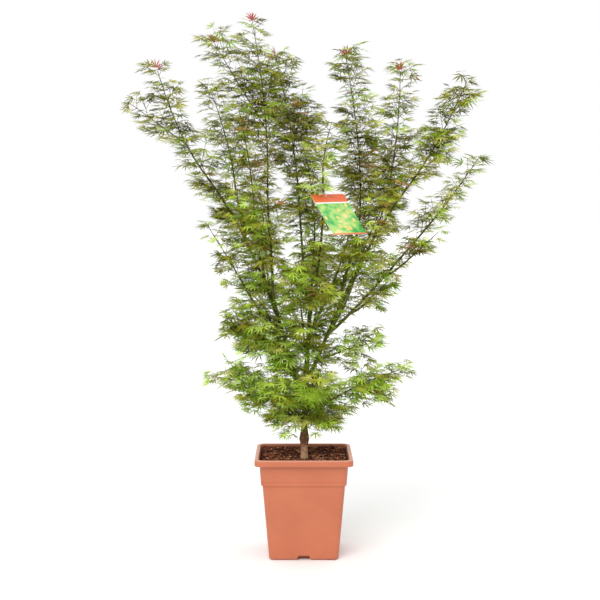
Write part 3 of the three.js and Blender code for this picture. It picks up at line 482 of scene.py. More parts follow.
class Line:
    """A curve through space, read at a share of its length."""

    def __init__(self, points):
        self.points = np.asarray(points, float)
        steps = np.linalg.norm(np.diff(self.points, axis=0), axis=1)
        self.distances = np.concatenate([[0.0], np.cumsum(steps)])
        self.length = self.distances[-1]

    def at(self, share):
        distance = share * self.length
        return np.array([np.interp(distance, self.distances, self.points[:, i]) for i in range(3)])

    def along(self, share):
        return unit(self.at(min(1.0, share + NEARBY)) - self.at(max(0.0, share - NEARBY)))

    def spaced(self, count, first=0.0, last=1.0):
        return np.array([self.at(share) for share in np.linspace(first, last, count)])


def bezier(controls):
    """A Bezier curve with any number of control points."""
    degree = len(controls) - 1
    t = np.linspace(0, 1, CURVE_POINTS)[:, None]
    weights = [math.comb(degree, i) * t ** i * (1 - t) ** (degree - i) for i in range(degree + 1)]
    return Line(sum(weight * np.asarray(control) for weight, control in zip(weights, controls)))


def turning_line(start, direction, end):
    """A curve that leaves its start along a direction and ends at a point."""
    reach = np.linalg.norm(end - start) * TURN_SHARE
    return bezier([start, start + direction * reach, end])


class Pile:
    """Many small shapes that become one."""

    def __init__(self):
        self.points = []
        self.triangles = []
        self.count = 0

    def add(self, points, triangles):
        self.points.append(points)
        self.triangles.append(triangles + self.count)
        self.count += len(points)

    def shape(self):
        return np.concatenate(self.points), np.concatenate(self.triangles)


def mesh_of(name, shape):
    points = shape[0].astype(np.float32)
    triangles = shape[1].astype(np.int32)
    mesh = bpy.data.meshes.new(name)
    mesh.vertices.add(len(points))
    mesh.vertices.foreach_set("co", points.ravel())
    mesh.loops.add(triangles.size)
    mesh.loops.foreach_set("vertex_index", triangles.ravel())
    mesh.polygons.add(len(triangles))
    mesh.polygons.foreach_set("loop_start", np.arange(0, triangles.size, 3, dtype=np.int32))
    mesh.update(calc_edges=True)
    mesh.validate()
    return mesh


def add_object(name, data):
    thing = bpy.data.objects.new(name, data)
    bpy.context.scene.collection.objects.link(thing)
    return thing


def evaluated_mesh(thing):
    """The mesh of an object with its modifiers, or of a curve."""
    return bpy.data.meshes.new_from_object(thing.evaluated_get(bpy.context.evaluated_depsgraph_get()))


def add_piece(mesh, finish, nodes):
    """A mesh as a shown piece that stands for solids of the plant."""
    piece = add_object(mesh.name, mesh)
    mesh.materials.append(finish.material)
    mesh.shade_smooth()
    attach(piece, "root")
    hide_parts(*nodes)


def loft(rings):
    """Points and triangles of a closed surface through rings of as many points each."""
    count = len(rings[0])
    points = [point for ring in rings for point in ring]
    triangles = []
    for ring in range(len(rings) - 1):
        for k in range(count):
            low = ring * count + k
            low_next = ring * count + (k + 1) % count
            triangles += [(low, low_next, low_next + count), (low, low_next + count, low + count)]
    last = (len(rings) - 1) * count
    first_centre = len(points)
    points += [np.mean(rings[0], axis=0), np.mean(rings[-1], axis=0)]
    for k in range(count):
        following = (k + 1) % count
        triangles.append((first_centre, following, k))
        triangles.append((first_centre + 1, last + k, last + following))
    return np.array(points), np.array(triangles)


def tube(points, radii, sides, relief=None):
    """A closed tube along points. Relief gives each ring's radii as factors of its angles and number."""
    ahead = np.gradient(points, axis=0)
    ahead /= np.linalg.norm(ahead, axis=1)[:, None]
    across = np.cross(ahead[0], TUBE_ASIDE)
    angles = full_turn(sides)
    rings = []
    for i, (point, direction, radius) in enumerate(zip(points, ahead, radii)):
        across = unit(across - direction * (across @ direction))
        other = np.cross(direction, across)
        reach = radius * (relief(i, angles) if relief else np.ones(sides))
        ring = point + np.outer(reach * np.cos(angles), across) + np.outer(reach * np.sin(angles), other)
        rings.append(ring)
    return loft(rings)


class Finish:
    """A material whose colour, gloss and relief vary by noise, with its nodes. One colour stays plain."""

    def __init__(self, name, colours, pattern=60, rough=(0.5, 0.7), bump=0.1, bump_scale=400, detail=4,
                 coat=0, specular=0.5):
        self.material = bpy.data.materials.new(name)
        self.material.use_nodes = True
        self.tree = self.material.node_tree
        self.surface = self.tree.nodes["Principled BSDF"]
        self.place = self.tree.nodes.new("ShaderNodeTexCoord").outputs["Object"]
        if len(colours) > 1:
            colour = self.ramp(self.grain(pattern, detail), colours)
        else:
            colour = linear(colours[0])
        gloss = self.ranged(self.grain(pattern * GLOSS_SCALE, GLOSS_DETAIL), 0, 1, *rough)
        height = self.grain(bump_scale, RELIEF_DETAIL)
        relief = self.node("ShaderNodeBump", {"Strength": bump, "Distance": MM, "Height": height})
        self.feed(self.surface, {"Base Color": colour, "Roughness": gloss, "Normal": relief.outputs["Normal"],
                                 "Coat Weight": coat, "Specular IOR Level": specular})

    def feed(self, node, values):
        """Sets a node's inputs, or links them to the outputs of other nodes."""
        for name, value in values.items():
            if isinstance(value, bpy.types.NodeSocket):
                self.tree.links.new(value, node.inputs[name])
            else:
                node.inputs[name].default_value = value

    def node(self, kind, values):
        node = self.tree.nodes.new(kind)
        self.feed(node, values)
        return node

    def grain(self, scale, detail):
        values = {"Vector": self.place, "Scale": scale, "Detail": detail}
        return self.node("ShaderNodeTexNoise", values).outputs["Fac"]

    def ramp(self, share, colours, low=0.3, high=0.7):
        """Colours evenly spaced over a range, by default the one that noise mostly takes."""
        ramp = self.node("ShaderNodeValToRGB", {"Fac": share})
        elements = ramp.color_ramp.elements
        while len(elements) < len(colours):
            elements.new(0.5)
        for i, colour in enumerate(colours):
            elements[i].position = low + (high - low) * i / (len(colours) - 1)
            elements[i].color = linear(colour)
        return ramp.outputs["Color"]

    def ranged(self, value, low, high, to_low=0, to_high=1):
        values = {"Value": value, "From Min": low, "From Max": high, "To Min": to_low, "To Max": to_high}
        return self.node("ShaderNodeMapRange", values).outputs["Result"]

    def height(self):
        return self.node("ShaderNodeSeparateXYZ", {"Vector": self.place}).outputs["Z"]

    def calculated(self, operation, *values):
        math_node = self.node("ShaderNodeMath", dict(enumerate(values)))
        math_node.operation = operation
        return math_node.outputs["Value"]

    def mixed(self, below, above, share, blend="MIX"):
        mix = self.node("ShaderNodeMixRGB", {"Color1": below, "Color2": above, "Fac": share})
        mix.blend_type = blend
        return mix.outputs["Color"]

    def colour(self):
        return self.surface.inputs["Base Color"].links[0].from_socket

    def paint(self, colour):
        self.feed(self.surface, {"Base Color": colour})


# Pot

def square_ring(width, corner, height, corner_steps=CORNER_STEPS):
    return at_height(rounded_rectangle(width, width, corner, corner_steps), height)


def pot_ring(width, height, corner_steps=CORNER_STEPS):
    return square_ring(width, POT_CORNER * width / RIM_WIDTH, height, corner_steps)


def rounded(width, height, radius, start, stop, steps=4):
    """Widths and heights round an arc whose middle is at half the width in from the axis."""
    angles = np.linspace(math.radians(start), math.radians(stop), steps + 1)
    return [(width + 2 * radius * math.cos(angle), height + radius * math.sin(angle)) for angle in angles]


def pot_profile():
    """Widths and heights from the foot up over the rolled rim and down the inside."""
    lip = POT_HEIGHT - RIM_DEPTH
    step = BAND_FOOT_HEIGHT
    opening = RIM_WIDTH - 2 * RIM_TOP_WIDTH
    groove = step + GROOVE_ABOVE_STEP
    groove_width = BAND_FOOT_WIDTH + (BAND_TOP_WIDTH - BAND_FOOT_WIDTH) * GROOVE_ABOVE_STEP / (lip - step)
    inside = -2 * POT_WALL
    mouth = MOUTH_ROUNDING
    return [
        *rounded(FOOT_WIDTH - 2 * FOOT_ROUNDING, PAD_HEIGHT + FOOT_ROUNDING, FOOT_ROUNDING, -90, 0),
        (BODY_TOP_WIDTH, step - STEP_EDGE),
        (BODY_TOP_WIDTH + STEP_ROUNDING, step - STEP_EDGE / 2),
        *rounded(BAND_FOOT_WIDTH - 2 * STEP_ROUNDING, step + STEP_ROUNDING, STEP_ROUNDING, -90, 0),
        *[(groove_width - 2 * depth, groove + above) for depth, above in GROOVE],
        (BAND_TOP_WIDTH, lip),
        (opening + 2 * POT_WALL, POT_HEIGHT - POT_WALL),
        (RIM_WIDTH + inside, POT_HEIGHT - POT_WALL),
        (RIM_WIDTH + inside, lip),
        *rounded(RIM_WIDTH - 2 * LIP_ROUNDING, lip + LIP_ROUNDING, LIP_ROUNDING, -90, 0),
        *rounded(RIM_WIDTH - 2 * RIM_ROUNDING, POT_HEIGHT - RIM_ROUNDING, RIM_ROUNDING, 0, 90, steps=6),
        *reversed(rounded(opening + 2 * mouth, POT_HEIGHT - mouth, -mouth, 0, -90, steps=5)),
        (BAND_TOP_WIDTH + inside, lip),
        (BAND_FOOT_WIDTH + inside, step + STEP_EDGE),
        (BODY_TOP_WIDTH + inside, step - STEP_EDGE),
        (FOOT_WIDTH + inside, PAD_HEIGHT + POT_FLOOR),
    ]


def combine(target, shape, operation):
    """Joins a shape to an object or cuts it out."""
    tool = add_object("tool", mesh_of("tool", shape))
    modifier = target.modifiers.new("cut", "BOOLEAN")
    modifier.object = tool
    modifier.operation = operation
    modifier.solver = "EXACT"
    result = evaluated_mesh(target)
    target.modifiers.clear()
    target.data = result
    bpy.data.objects.remove(tool)


def notch_prism(margin, outward, low):
    """A drainage notch in the front of the foot, grown by a margin, from a low level up."""
    depth = (-FOOT_WIDTH / 2 + NOTCH_DEPTH + margin, -FOOT_WIDTH / 2 - outward)
    high = NOTCH_HEIGHT + margin
    wide, narrow = NOTCH_WIDTH / 2 + margin, NOTCH_TOP_WIDTH / 2 + margin
    outline = [(-wide, low), (wide, low), (narrow, high), (-narrow, high)]
    return loft([np.array([(x, y, z) for x, z in outline]) for y in depth])


def foot_pads():
    """Two low pads along the front of the foot, a little bevelled below."""
    length, width = PAD_SIZE
    front = -FOOT_WIDTH / 2 + PAD_FROM_FRONT
    pile = Pile()
    for side in (-1, 1):
        rings = []
        for inset, height in ((PAD_BEVEL[0], 0), (0, PAD_BEVEL[1]), (0, PAD_HEIGHT + OVERLAP)):
            ring = square_ring(1, PAD_CORNER_SHARE, height, PAD_CORNER_STEPS)
            ring[:, 0] = ring[:, 0] * (length - 2 * inset) + side * PAD_SPACING / 2
            ring[:, 1] = ring[:, 1] * (width - 2 * inset) + front + width / 2
            rings.append(ring)
        pile.add(*loft(rings))
    return pile.shape()


def centre_pad():
    circle = arc((0, 0), CENTRE_PAD_RADIUS, full_turn(CENTRE_PAD_SIDES))
    return loft([at_height(circle, 0), at_height(circle, PAD_HEIGHT + OVERLAP)])


def on_side(shape, turn):
    """A shape of the front of the pot, turned to one of its four sides."""
    points, triangles = shape
    spin = np.array(Matrix.Rotation(turn * math.pi / 2, 3, "Z"))
    return points @ spin.T, triangles


def pot_finish():
    """Satin terracotta plastic, paler on top of the rim: a painted highlight where the light falls."""
    finish = Finish("terracotta_plastic", [(177, 97, 64), (185, 104, 71)], pattern=9, rough=(0.38, 0.5),
                    bump=0.12, bump_scale=900)
    # Painted highlight: the colour pales toward the top of the rim, as if lit from above.
    low, high = [POT_HEIGHT - depth for depth in RIM_TOP_LIGHT_DEPTHS]
    painted_rim_light = finish.ranged(finish.height(), low, high, 0, RIM_TOP_LIGHT_SHARE)
    finish.paint(finish.mixed(finish.colour(), linear(RIM_TOP_PAINTED_LIGHT), painted_rim_light))
    return finish


def make_pot():
    shape = loft([pot_ring(width, height) for width, height in pot_profile()])
    pot = add_object("tool", mesh_of("tool", shape))
    for turn in range(4):
        combine(pot, on_side(notch_prism(POT_WALL, -HOUSING_INSET, PAD_HEIGHT + OVERLAP), turn), "UNION")
        combine(pot, on_side(foot_pads(), turn), "UNION")
    combine(pot, centre_pad(), "UNION")
    for turn in range(4):
        combine(pot, on_side(notch_prism(0, POT_CORNER, -OVERLAP), turn), "DIFFERENCE")
    mesh = pot.data.copy()
    mesh.name = "nursery_pot"
    bpy.data.objects.remove(pot)
    add_piece(mesh, pot_finish(), ["pot"])
    mesh.set_sharp_from_angle(angle=SHARP_EDGE)


# Soil

def from_trunk(x, y):
    return math.hypot(x - TRUNK_FOOT[0], y - TRUNK_FOOT[1])


def soil_height(x, y):
    """The height of the soil's surface: lumpy, calm round the trunk and banked up toward the rim."""
    away = min(1.0, from_trunk(x, y) / SOIL_CALM_REACH)
    coarse = noise.noise(Vector((x, y, COARSE_LEVEL)) * COARSE_SCALE)
    fine = noise.noise(Vector((x, y, FINE_LEVEL)) * FINE_SCALE)
    bank = SOIL_BANK * min(1.0, max(abs(x), abs(y)) / (BAND_TOP_WIDTH / 2)) ** SOIL_BANK_POWER
    lumps = SOIL_LUMPS * away * (COARSE_SHARE * coarse + (1 - COARSE_SHARE) * fine)
    return SOIL_TOP + bank + lumps + SOIL_GRAIN * fine


def in_pot(width):
    """The width of the soil where the pot has a width."""
    return width - 2 * (POT_WALL + GAP)


def make_soil():
    between_notches = in_pot(FOOT_WIDTH) - 2 * NOTCH_DEPTH
    sides = [
        (between_notches, PAD_HEIGHT + POT_FLOOR + GAP),
        (between_notches, NOTCH_HEIGHT + 2 * POT_WALL),
        (in_pot(FOOT_WIDTH), NOTCH_HEIGHT + 2.5 * POT_WALL),
        (in_pot(BODY_TOP_WIDTH), BAND_FOOT_HEIGHT - STEP_EDGE),
        (in_pot(BAND_FOOT_WIDTH), BAND_FOOT_HEIGHT + SOIL_ABOVE_STEP),
        (in_pot(BAND_TOP_WIDTH) - SOIL_SHOULDER[0], SOIL_TOP - SOIL_SHOULDER[1]),
    ]
    rings = [pot_ring(width, height, SOIL_SIDE_POINTS) for width, height in sides]
    for ring in range(SOIL_RINGS):
        points = pot_ring((in_pot(BAND_TOP_WIDTH) - SOIL_EDGE) * (1 - ring / SOIL_RINGS), 0, SOIL_SIDE_POINTS)
        points[:, 2] = [soil_height(x, y) for x, y, _ in points]
        rings.append(points)
    earth = Finish("compost", [(24, 9, 4), (60, 25, 14), (100, 48, 28)], pattern=170, rough=(0.85, 1),
                   bump=1, bump_scale=500, detail=8, specular=0.15)
    add_piece(mesh_of("soil_surface", loft(rings)), earth, ["soil"])


def chip(rng, size):
    """A flat, uneven splinter of bark that lies about level."""
    corners = np.array([(x, y, z) for x in (-1, 1) for y in (-1, 1) for z in (-1, 1)], float)
    corners *= 1 + CHIP_UNEVENNESS * np.array([[rng.uniform(-1, 1) for _ in range(3)] for _ in range(8)])
    corners *= np.array(size) / 2
    spin = Matrix.Rotation(rng.uniform(0, math.tau), 3, "Z")
    tilt = spin @ Matrix.Rotation(rng.gauss(0, CHIP_TILT), 3, "X")
    faces = [(0, 1, 3), (0, 3, 2), (4, 6, 7), (4, 7, 5), (0, 4, 5), (0, 5, 1),
             (2, 3, 7), (2, 7, 6), (0, 2, 6), (0, 6, 4), (1, 5, 7), (1, 7, 3)]
    return corners @ np.array(tilt).T, np.array(faces)


def make_chips():
    """Bark chips and a few pale grains, strewn over the soil inside the rim."""
    rng = random.Random(CHIP_SEED)
    reach = (BAND_TOP_WIDTH - 2 * POT_WALL) / 2 - CHIP_MARGIN
    for kind, (count, colours) in CHIPS.items():
        pile = Pile()
        for _ in range(count):
            x, y = rng.uniform(-reach, reach), rng.uniform(-reach, reach)
            if from_trunk(x, y) < TRUNK_RADIUS + FLARE:
                continue
            if kind == "pale":
                size = [rng.uniform(*GRAIN_SIZES) * MM] * 3
            else:
                size = [rng.uniform(*sizes) * MM for sizes in CHIP_SIZES]
            points, faces = chip(rng, size)
            pile.add(points + (x, y, soil_height(x, y) + size[2] * CHIP_LIFT), faces)
        finish = Finish(f"chips_{kind}", colours, pattern=300, rough=(0.8, 0.95), bump=0.5, bump_scale=900,
                        specular=0.2)
        mesh = mesh_of(f"soil_chips_{kind}", pile.shape())
        add_piece(mesh, finish, ["soil"])
        mesh.shade_flat()


# Trunk and limbs

def trunk_radius(share):
    flare = FLARE * math.exp(-share / FLARE_HEIGHT)
    graft = GRAFT_SWELL * math.exp(-(((share - GRAFT_SHARE) / GRAFT_LENGTH) ** 2))
    return TRUNK_RADIUS - share * TRUNK_TAPER + flare + graft


def limb_line(limb, parent):
    """A limb's middle line. It leaves its parent's side at a steep angle, or goes on from its end."""
    end = np.array(limb["end"]) * MM
    start = parent["line"].at(limb["at"])
    along = parent["line"].along(limb["at"])
    if limb["at"] == 1:
        return turning_line(start, along, end)
    chord = end - start
    sideways = unit(chord - along * (chord @ along))
    leaving = along * math.cos(FORK_ANGLE) + sideways * math.sin(FORK_ANGLE)
    first = start + leaving * min(FORK_REACH, np.linalg.norm(chord) / 4)
    second = start + chord * BOW_AT
    outward = unit(np.array([second[0] - TRUNK_FORK[0], second[1] - TRUNK_FORK[1], 0.0]))
    return bezier([start, first, second + outward * limb["bow"] * MM, end])


def grow_limbs():
    """The trunk and every limb, each with its middle line and the rule for its radius."""
    foot = np.array([*TRUNK_FOOT, SOIL_TOP])
    limbs = {"trunk": dict(line=turning_line(foot, UP, np.array(TRUNK_FORK)), radius_at=trunk_radius)}
    for limb in LIMBS:
        parent = limbs[limb["parent"]]
        root = parent["radius_at"](1) if limb["at"] == 1 else limb["radius"] * MM
        limbs[limb["name"]] = dict(
            line=limb_line(limb, parent),
            radius_at=lambda share, root=root: LIMB_TIP + (root - LIMB_TIP) * (1 - share) ** TAPER)
    return limbs


def bark_noise(angles, height, pattern):
    """Noise at points round a stem, read by a pattern: how far round, and how fast upward."""
    reach, rise = pattern
    places = [Vector((reach * math.cos(a), reach * math.sin(a), height * rise)) for a in angles]
    return np.array([noise.noise(place) for place in places])


def make_trunk(trunk, finish):
    """The trunk with the relief of its bark: furrows at the foot, burrs at the graft, smooth above."""
    points = trunk["line"].spaced(TRUNK_RINGS)
    points[0][2] -= TRUNK_SUNK
    shares = np.linspace(0, 1, TRUNK_RINGS)

    def relief(ring, angles):
        burred = math.exp(-(((shares[ring] - GRAFT_SHARE) / BURR_REACH) ** 2))
        furrowed = FURROW_SHARE * math.exp(-FURROW_FALL * shares[ring])
        roughness = BARK_RELIEF * (SMOOTH_BARK + burred + furrowed)
        furrows = bark_noise(angles, points[ring][2], FURROW_PATTERN)
        burrs = bark_noise(angles, points[ring][2], BURR_PATTERN)
        return 1 + roughness / TRUNK_RADIUS * (furrows + BURR_SHARE * burrs)

    radii = [trunk_radius(share) for share in shares]
    add_piece(mesh_of("trunk_bark", tube(points, radii, TRUNK_SIDES, relief)), finish, ["trunk"])


def bud_scars(distance):
    """The slight swelling of a shoot where it once bore a pair of leaves."""
    offset = (distance % BUD_SCAR_SPACING) / BUD_SCAR_SPACING - 0.5
    return 1 + BUD_SCAR_SWELL * math.exp(-((offset / BUD_SCAR_LENGTH) ** 2))


def make_limb(name, limb, finish):
    line = limb["line"]
    count = max(FEWEST_LIMB_RINGS, round(line.length / LIMB_RING_SPACING))
    points = line.spaced(count)
    radii = [limb["radius_at"](share) * bud_scars(share * line.length) for share in np.linspace(0, 1, count)]

    def relief(ring, angles):
        return 1 + LIMB_RELIEF * bark_noise(angles, points[ring][2], LIMB_PATTERN)

    mesh = mesh_of(f"{name}_stem", tube(points, radii, LIMB_SIDES, relief))
    add_piece(mesh, finish, [name])


def bark_finish():
    """Grey-brown at the soil, dark and rough at the graft, then olive and green up to the fork."""
    finish = Finish("bark", BARK_COLOURS[:1], pattern=90, rough=(0.75, 0.95), bump=0.9, bump_scale=260)
    waver = finish.grain(scale=55, detail=5)
    height = finish.calculated("MULTIPLY_ADD", waver, BARK_WAVER, finish.height())
    share = finish.ranged(height, SOIL_TOP + BARK_WAVER / 2, TRUNK_FORK[2] + BARK_WAVER / 2)
    zones = finish.ramp(share, BARK_COLOURS, low=0, high=0.62)
    fine = finish.grain(scale=240, detail=6)
    speckle = finish.ramp(fine, [(120, 110, 100), (255, 250, 240)], low=0.35, high=0.6)
    finish.paint(finish.mixed(zones, speckle, share=0.75, blend="MULTIPLY"))
    return finish


def stem_finish():
    """Green young bark, browner the higher it is, and darker there with painted shade, as if the crown shaded
    the upper stems.
    """
    finish = Finish("green_bark", [(52, 50, 22), (92, 98, 36)], pattern=24, rough=(0.55, 0.7), bump=0.25,
                    bump_scale=420, specular=0.15)
    # Painted shade: this ramp darkens the stems upward as if the crown shaded them, besides browning them.
    share = finish.ranged(finish.height(), TRUNK_FORK[2], BROWN_AND_SHADE_FROM)
    zones = finish.ramp(share, [(118, 130, 48), (84, 84, 32), (66, 52, 28)], low=0, high=1)
    finish.paint(finish.mixed(finish.colour(), zones, share=0.65))
    return finish


def make_stems(limbs):
    make_trunk(limbs["trunk"], bark_finish())
    young_bark = stem_finish()
    for limb in LIMBS:
        make_limb(limb["name"], limbs[limb["name"]], young_bark)


# Foliage

def mass_stems(mass, carrier):
    """The stems of a mass: the first goes on from its limb or leaves the trunk, the others fork off it."""
    stems = []
    for i, tip in enumerate(mass["tips"]):
        end = np.array(tip) * MM
        if i > 0:
            start = stems[0]["line"].at(SIDE_STEM_FROM + SIDE_STEM_STEP * i)
            direction = unit(end - start)
        elif mass["on_trunk"]:
            start = carrier["line"].at(mass["at"])
            rise = STEM_RISE * np.linalg.norm(end - start)
            direction = unit(np.array([end[0] - start[0], end[1] - start[1], rise]))
        else:
            start = carrier["line"].at(1)
            direction = carrier["line"].along(1)
        root = LIMB_TIP * (SIDE_STEM_ROOT if i > 0 else 1)
        stems.append(dict(line=turning_line(start, direction, end), root=root))
    return stems


def leaf_shape(rng):
    """A palmate leaf with seven narrow lobes that fold along their midribs and hang outward."""
    hang = rng.uniform(*LEAF_HANG)
    fold = rng.uniform(*LEAF_FOLD)
    angles = [math.radians(angle + rng.uniform(-LOBE_ANGLE_PLAY, LOBE_ANGLE_PLAY)) for angle in LOBE_ANGLES]
    lengths = [length * rng.uniform(*LOBE_LENGTH_PLAY) for length in LOBE_LENGTHS]

    def place(angle, reach, sideways=0.0):
        x = math.cos(angle) * reach - math.sin(angle) * sideways
        y = math.sin(angle) * reach + math.cos(angle) * sideways
        return (x, y, fold * abs(sideways) - hang * reach * reach)

    notches = [(angles[0] - LEAF_BASE_TURN, LEAF_BASE_REACH)]
    notches += [((a + b) / 2, NOTCH_REACH * min(m, n) + NOTCH_FROM)
                for a, b, m, n in zip(angles, angles[1:], lengths, lengths[1:])]
    notches.append((angles[-1] + LEAF_BASE_TURN, LEAF_BASE_REACH))
    points = [(0.0, 0.0, 0.0)] + [place(angle, reach) for angle, reach in notches]
    triangles = []
    for i, (angle, length) in enumerate(zip(angles, lengths)):
        left, right = 1 + i, 2 + i
        low = len(points)
        wide_left, middle, wide_right, tip = low + 1, low + 2, low + 3, low + 4
        points.append(place(angle, LOBE_FOOT * length))
        points += [place(angle, LOBE_MIDDLE * length, side * LOBE_HALF_WIDTH * length ** 0.5)
                   for side in (-1, 0, 1)]
        points.append(place(angle, length))
        triangles += [(0, left, low), (0, low, right), (left, wide_left, middle), (left, middle, low),
                      (low, middle, wide_right), (low, wide_right, right),
                      (wide_left, tip, middle), (middle, tip, wide_right)]
    return np.array(points), np.array(triangles)


def stalk(start, end, radius):
    """A thin three-sided stalk between two points."""
    ahead = unit(end - start)
    across = unit(np.cross(ahead, STALK_ASIDE))
    other = np.cross(ahead, across)
    ring = [radius * (across * math.cos(a) + other * math.sin(a)) for a in full_turn(3)]
    points = np.array([start + side for side in ring] + [end + STALK_TAPER * side for side in ring])
    triangles = [(0, 1, 4), (0, 4, 3), (1, 2, 5), (1, 5, 4), (2, 0, 3), (2, 3, 5), (0, 2, 1), (3, 4, 5)]
    return points, np.array(triangles)


def height_share(height):
    return min(1.0, max(0.0, (height - LOW_CROWN) / CROWN_RISE))


def pick_tint(height, rng):
    """A spray's tint: fresh greens low in the crown, painted lighter there against the shade of the crown
    above, and olive and bronze high in it.
    """
    share = height_share(height)
    weights = [low + (high - low) * share for _, low, high in LEAF_TINTS.values()]
    return rng.choices(list(LEAF_TINTS), weights)[0]


def leaf_tint(spray_tint, rng):
    """A leaf's tint: its spray's, or now and then the next darker or lighter one of the same family."""
    if rng.random() > OTHER_TINT_SHARE:
        return spray_tint
    family = next(list(names) for names in LEAF_FAMILIES if spray_tint in names)
    place = family.index(spray_tint) + rng.choice((-1, 1))
    return family[min(max(place, 0), len(family) - 1)]


class Crown:
    """All twigs, leaf stalks and leaves, each kind in piles of its own."""

    def __init__(self, card):
        rng = random.Random(LEAF_SEED)
        self.shapes = [leaf_shape(rng) for _ in range(LEAF_VARIANTS)]
        self.twigs = Pile()
        self.stalks = Pile()
        self.leaves = {tint: Pile() for tint in LEAF_TINTS}
        self.card = card

    def in_reach(self, point, mass):
        """True inside the mass's own reach, above the pot and not in front of or behind the card."""
        if point[2] < LOWEST_LEAF or not self.card_is_clear(point):
            return False
        starts, spans = mass["starts"], mass["spans"]
        shares = np.clip(((point - starts) * spans).sum(1) / (spans ** 2).sum(1), 0, 1)
        return np.linalg.norm(starts + spans * shares[:, None] - point, axis=1).min() < mass["spread"] * MM

    def card_is_clear(self, point):
        """True where a leaf leaves the card in sight, with a little room for leaves over its edges."""
        width, height = CARD_SIZE
        offset = point - self.card["centre"]
        across = offset @ self.card["across"]
        beside = across > width / 2 - LEAVES_OVER_RIGHT or across < LEAVES_OVER_LEFT - width / 2
        below = abs(offset @ self.card["down"]) > height / 2 - LEAVES_OVER_ENDS
        depth = offset @ self.card["normal"]
        far = depth < LEAVES_BEHIND_FROM or depth > LEAVES_BEFORE_FROM
        return beside and abs(depth) > LEAVES_OFF_CARD or below or far

    def leaf(self, root, direction, length, mass, tint, rng, young=False):
        """A leaf at the end of its stalk, its blade near level and drooping outward. True if it has room."""
        centre = root + direction * (rng.uniform(*STALK_LENGTH) * length / LEAF_LENGTH)
        level = np.array([direction[0], direction[1], 0.0])
        if np.linalg.norm(level) < UPRIGHT:
            level = np.array([rng.uniform(-1, 1), rng.uniform(-1, 1), 0.0])
        level = turned(unit(level), UP, rng.uniform(-LEAF_SWING, LEAF_SWING))
        droop = math.radians(rng.uniform(*LEAF_DROOP) + LOW_LEAF_DROOP * (1 - height_share(centre[2])))
        if young:
            droop = math.radians(rng.uniform(*YOUNG_LEAF_DROOP))
        ahead = level * math.cos(droop) - UP * math.sin(droop)
        face = unit(np.cross(np.cross(ahead, UP), ahead))
        face = turned(face, ahead, rng.gauss(0, LEAF_TILT))
        if not (self.in_reach(centre, mass) and self.in_reach(centre + ahead * length, mass)):
            return False
        points, triangles = rng.choice(self.shapes)
        basis = np.array([ahead, np.cross(face, ahead), face]) * length
        self.leaves[leaf_tint(tint, rng)].add(points @ basis + centre, triangles)
        self.stalks.add(*stalk(root, centre, STALK_RADIUS))
        return True

    def twig(self, start, direction, length, mass, rng):
        """A twig with opposite pairs of leaves and one at its tip, all of one tint, and its side shoots."""
        tint = pick_tint(start[2], rng)
        end = start + direction * length + UP * length * rng.uniform(0.0, TWIG_RISE)
        line = turning_line(start, direction, end)
        pairs = max(1, round(length / TWIG_NODE_SPACING))
        leaf_size = LEAF_LENGTH * (LOW_LEAF_SIZE - HIGH_LEAF_LOSS * height_share(start[2]))
        grown = False
        for pair in range(pairs):
            share = (pair + rng.uniform(*PAIR_PLACES)) / (pairs + PAIR_ROOM)
            point, ahead = line.at(min(share, 1)), line.along(min(share, 1))
            sideways = aside(ahead, (pair % 2) * PAIR_TURN + rng.uniform(-PAIR_PLAY, PAIR_PLAY))
            for hand in (1, -1):
                leaving = unit(sideways * hand + ahead * rng.uniform(*LEAF_LEAN))
                size = leaf_size * rng.uniform(*LEAF_SIZES) * (1 - OUTER_LEAF_LOSS * share)
                grown |= self.leaf(point, leaving, size, mass, tint, rng)
        tip_size = leaf_size * rng.uniform(*TIP_LEAF_SIZES)
        grown |= self.leaf(line.at(1), unit(line.along(1) + UP * TIP_LEAF_RISE), tip_size, mass, tint, rng)
        self.side_shoots(line, length, mass, rng)
        if grown:
            radii = np.linspace(TWIG_RADIUS, TWIG_TIP, TWIG_RINGS)
            self.twigs.add(*tube(line.spaced(TWIG_RINGS), radii, TWIG_SIDES))

    def side_shoots(self, line, length, mass, rng):
        """Shorter twigs in opposite pairs along a long one."""
        forks = math.floor(length / SIDE_SHOOT_SPACING) if length > SIDE_SHOOT_FROM else 0
        for fork in range(forks):
            for hand in (1, -1):
                share = (fork + rng.uniform(*SIDE_SHOOT_PLACES)) / (forks + SIDE_SHOOT_ROOM)
                ahead = line.along(share)
                sideways = aside(ahead, rng.uniform(-SIDE_SHOOT_TURN, SIDE_SHOOT_TURN)) * hand
                leaving = unit(sideways + ahead * rng.uniform(*SHOOT_LEAN))
                shoot_length = SIDE_SHOOT_LENGTH * rng.uniform(*SIDE_SHOOT_LENGTHS)
                self.twig(line.at(share), leaving, shoot_length, mass, rng)

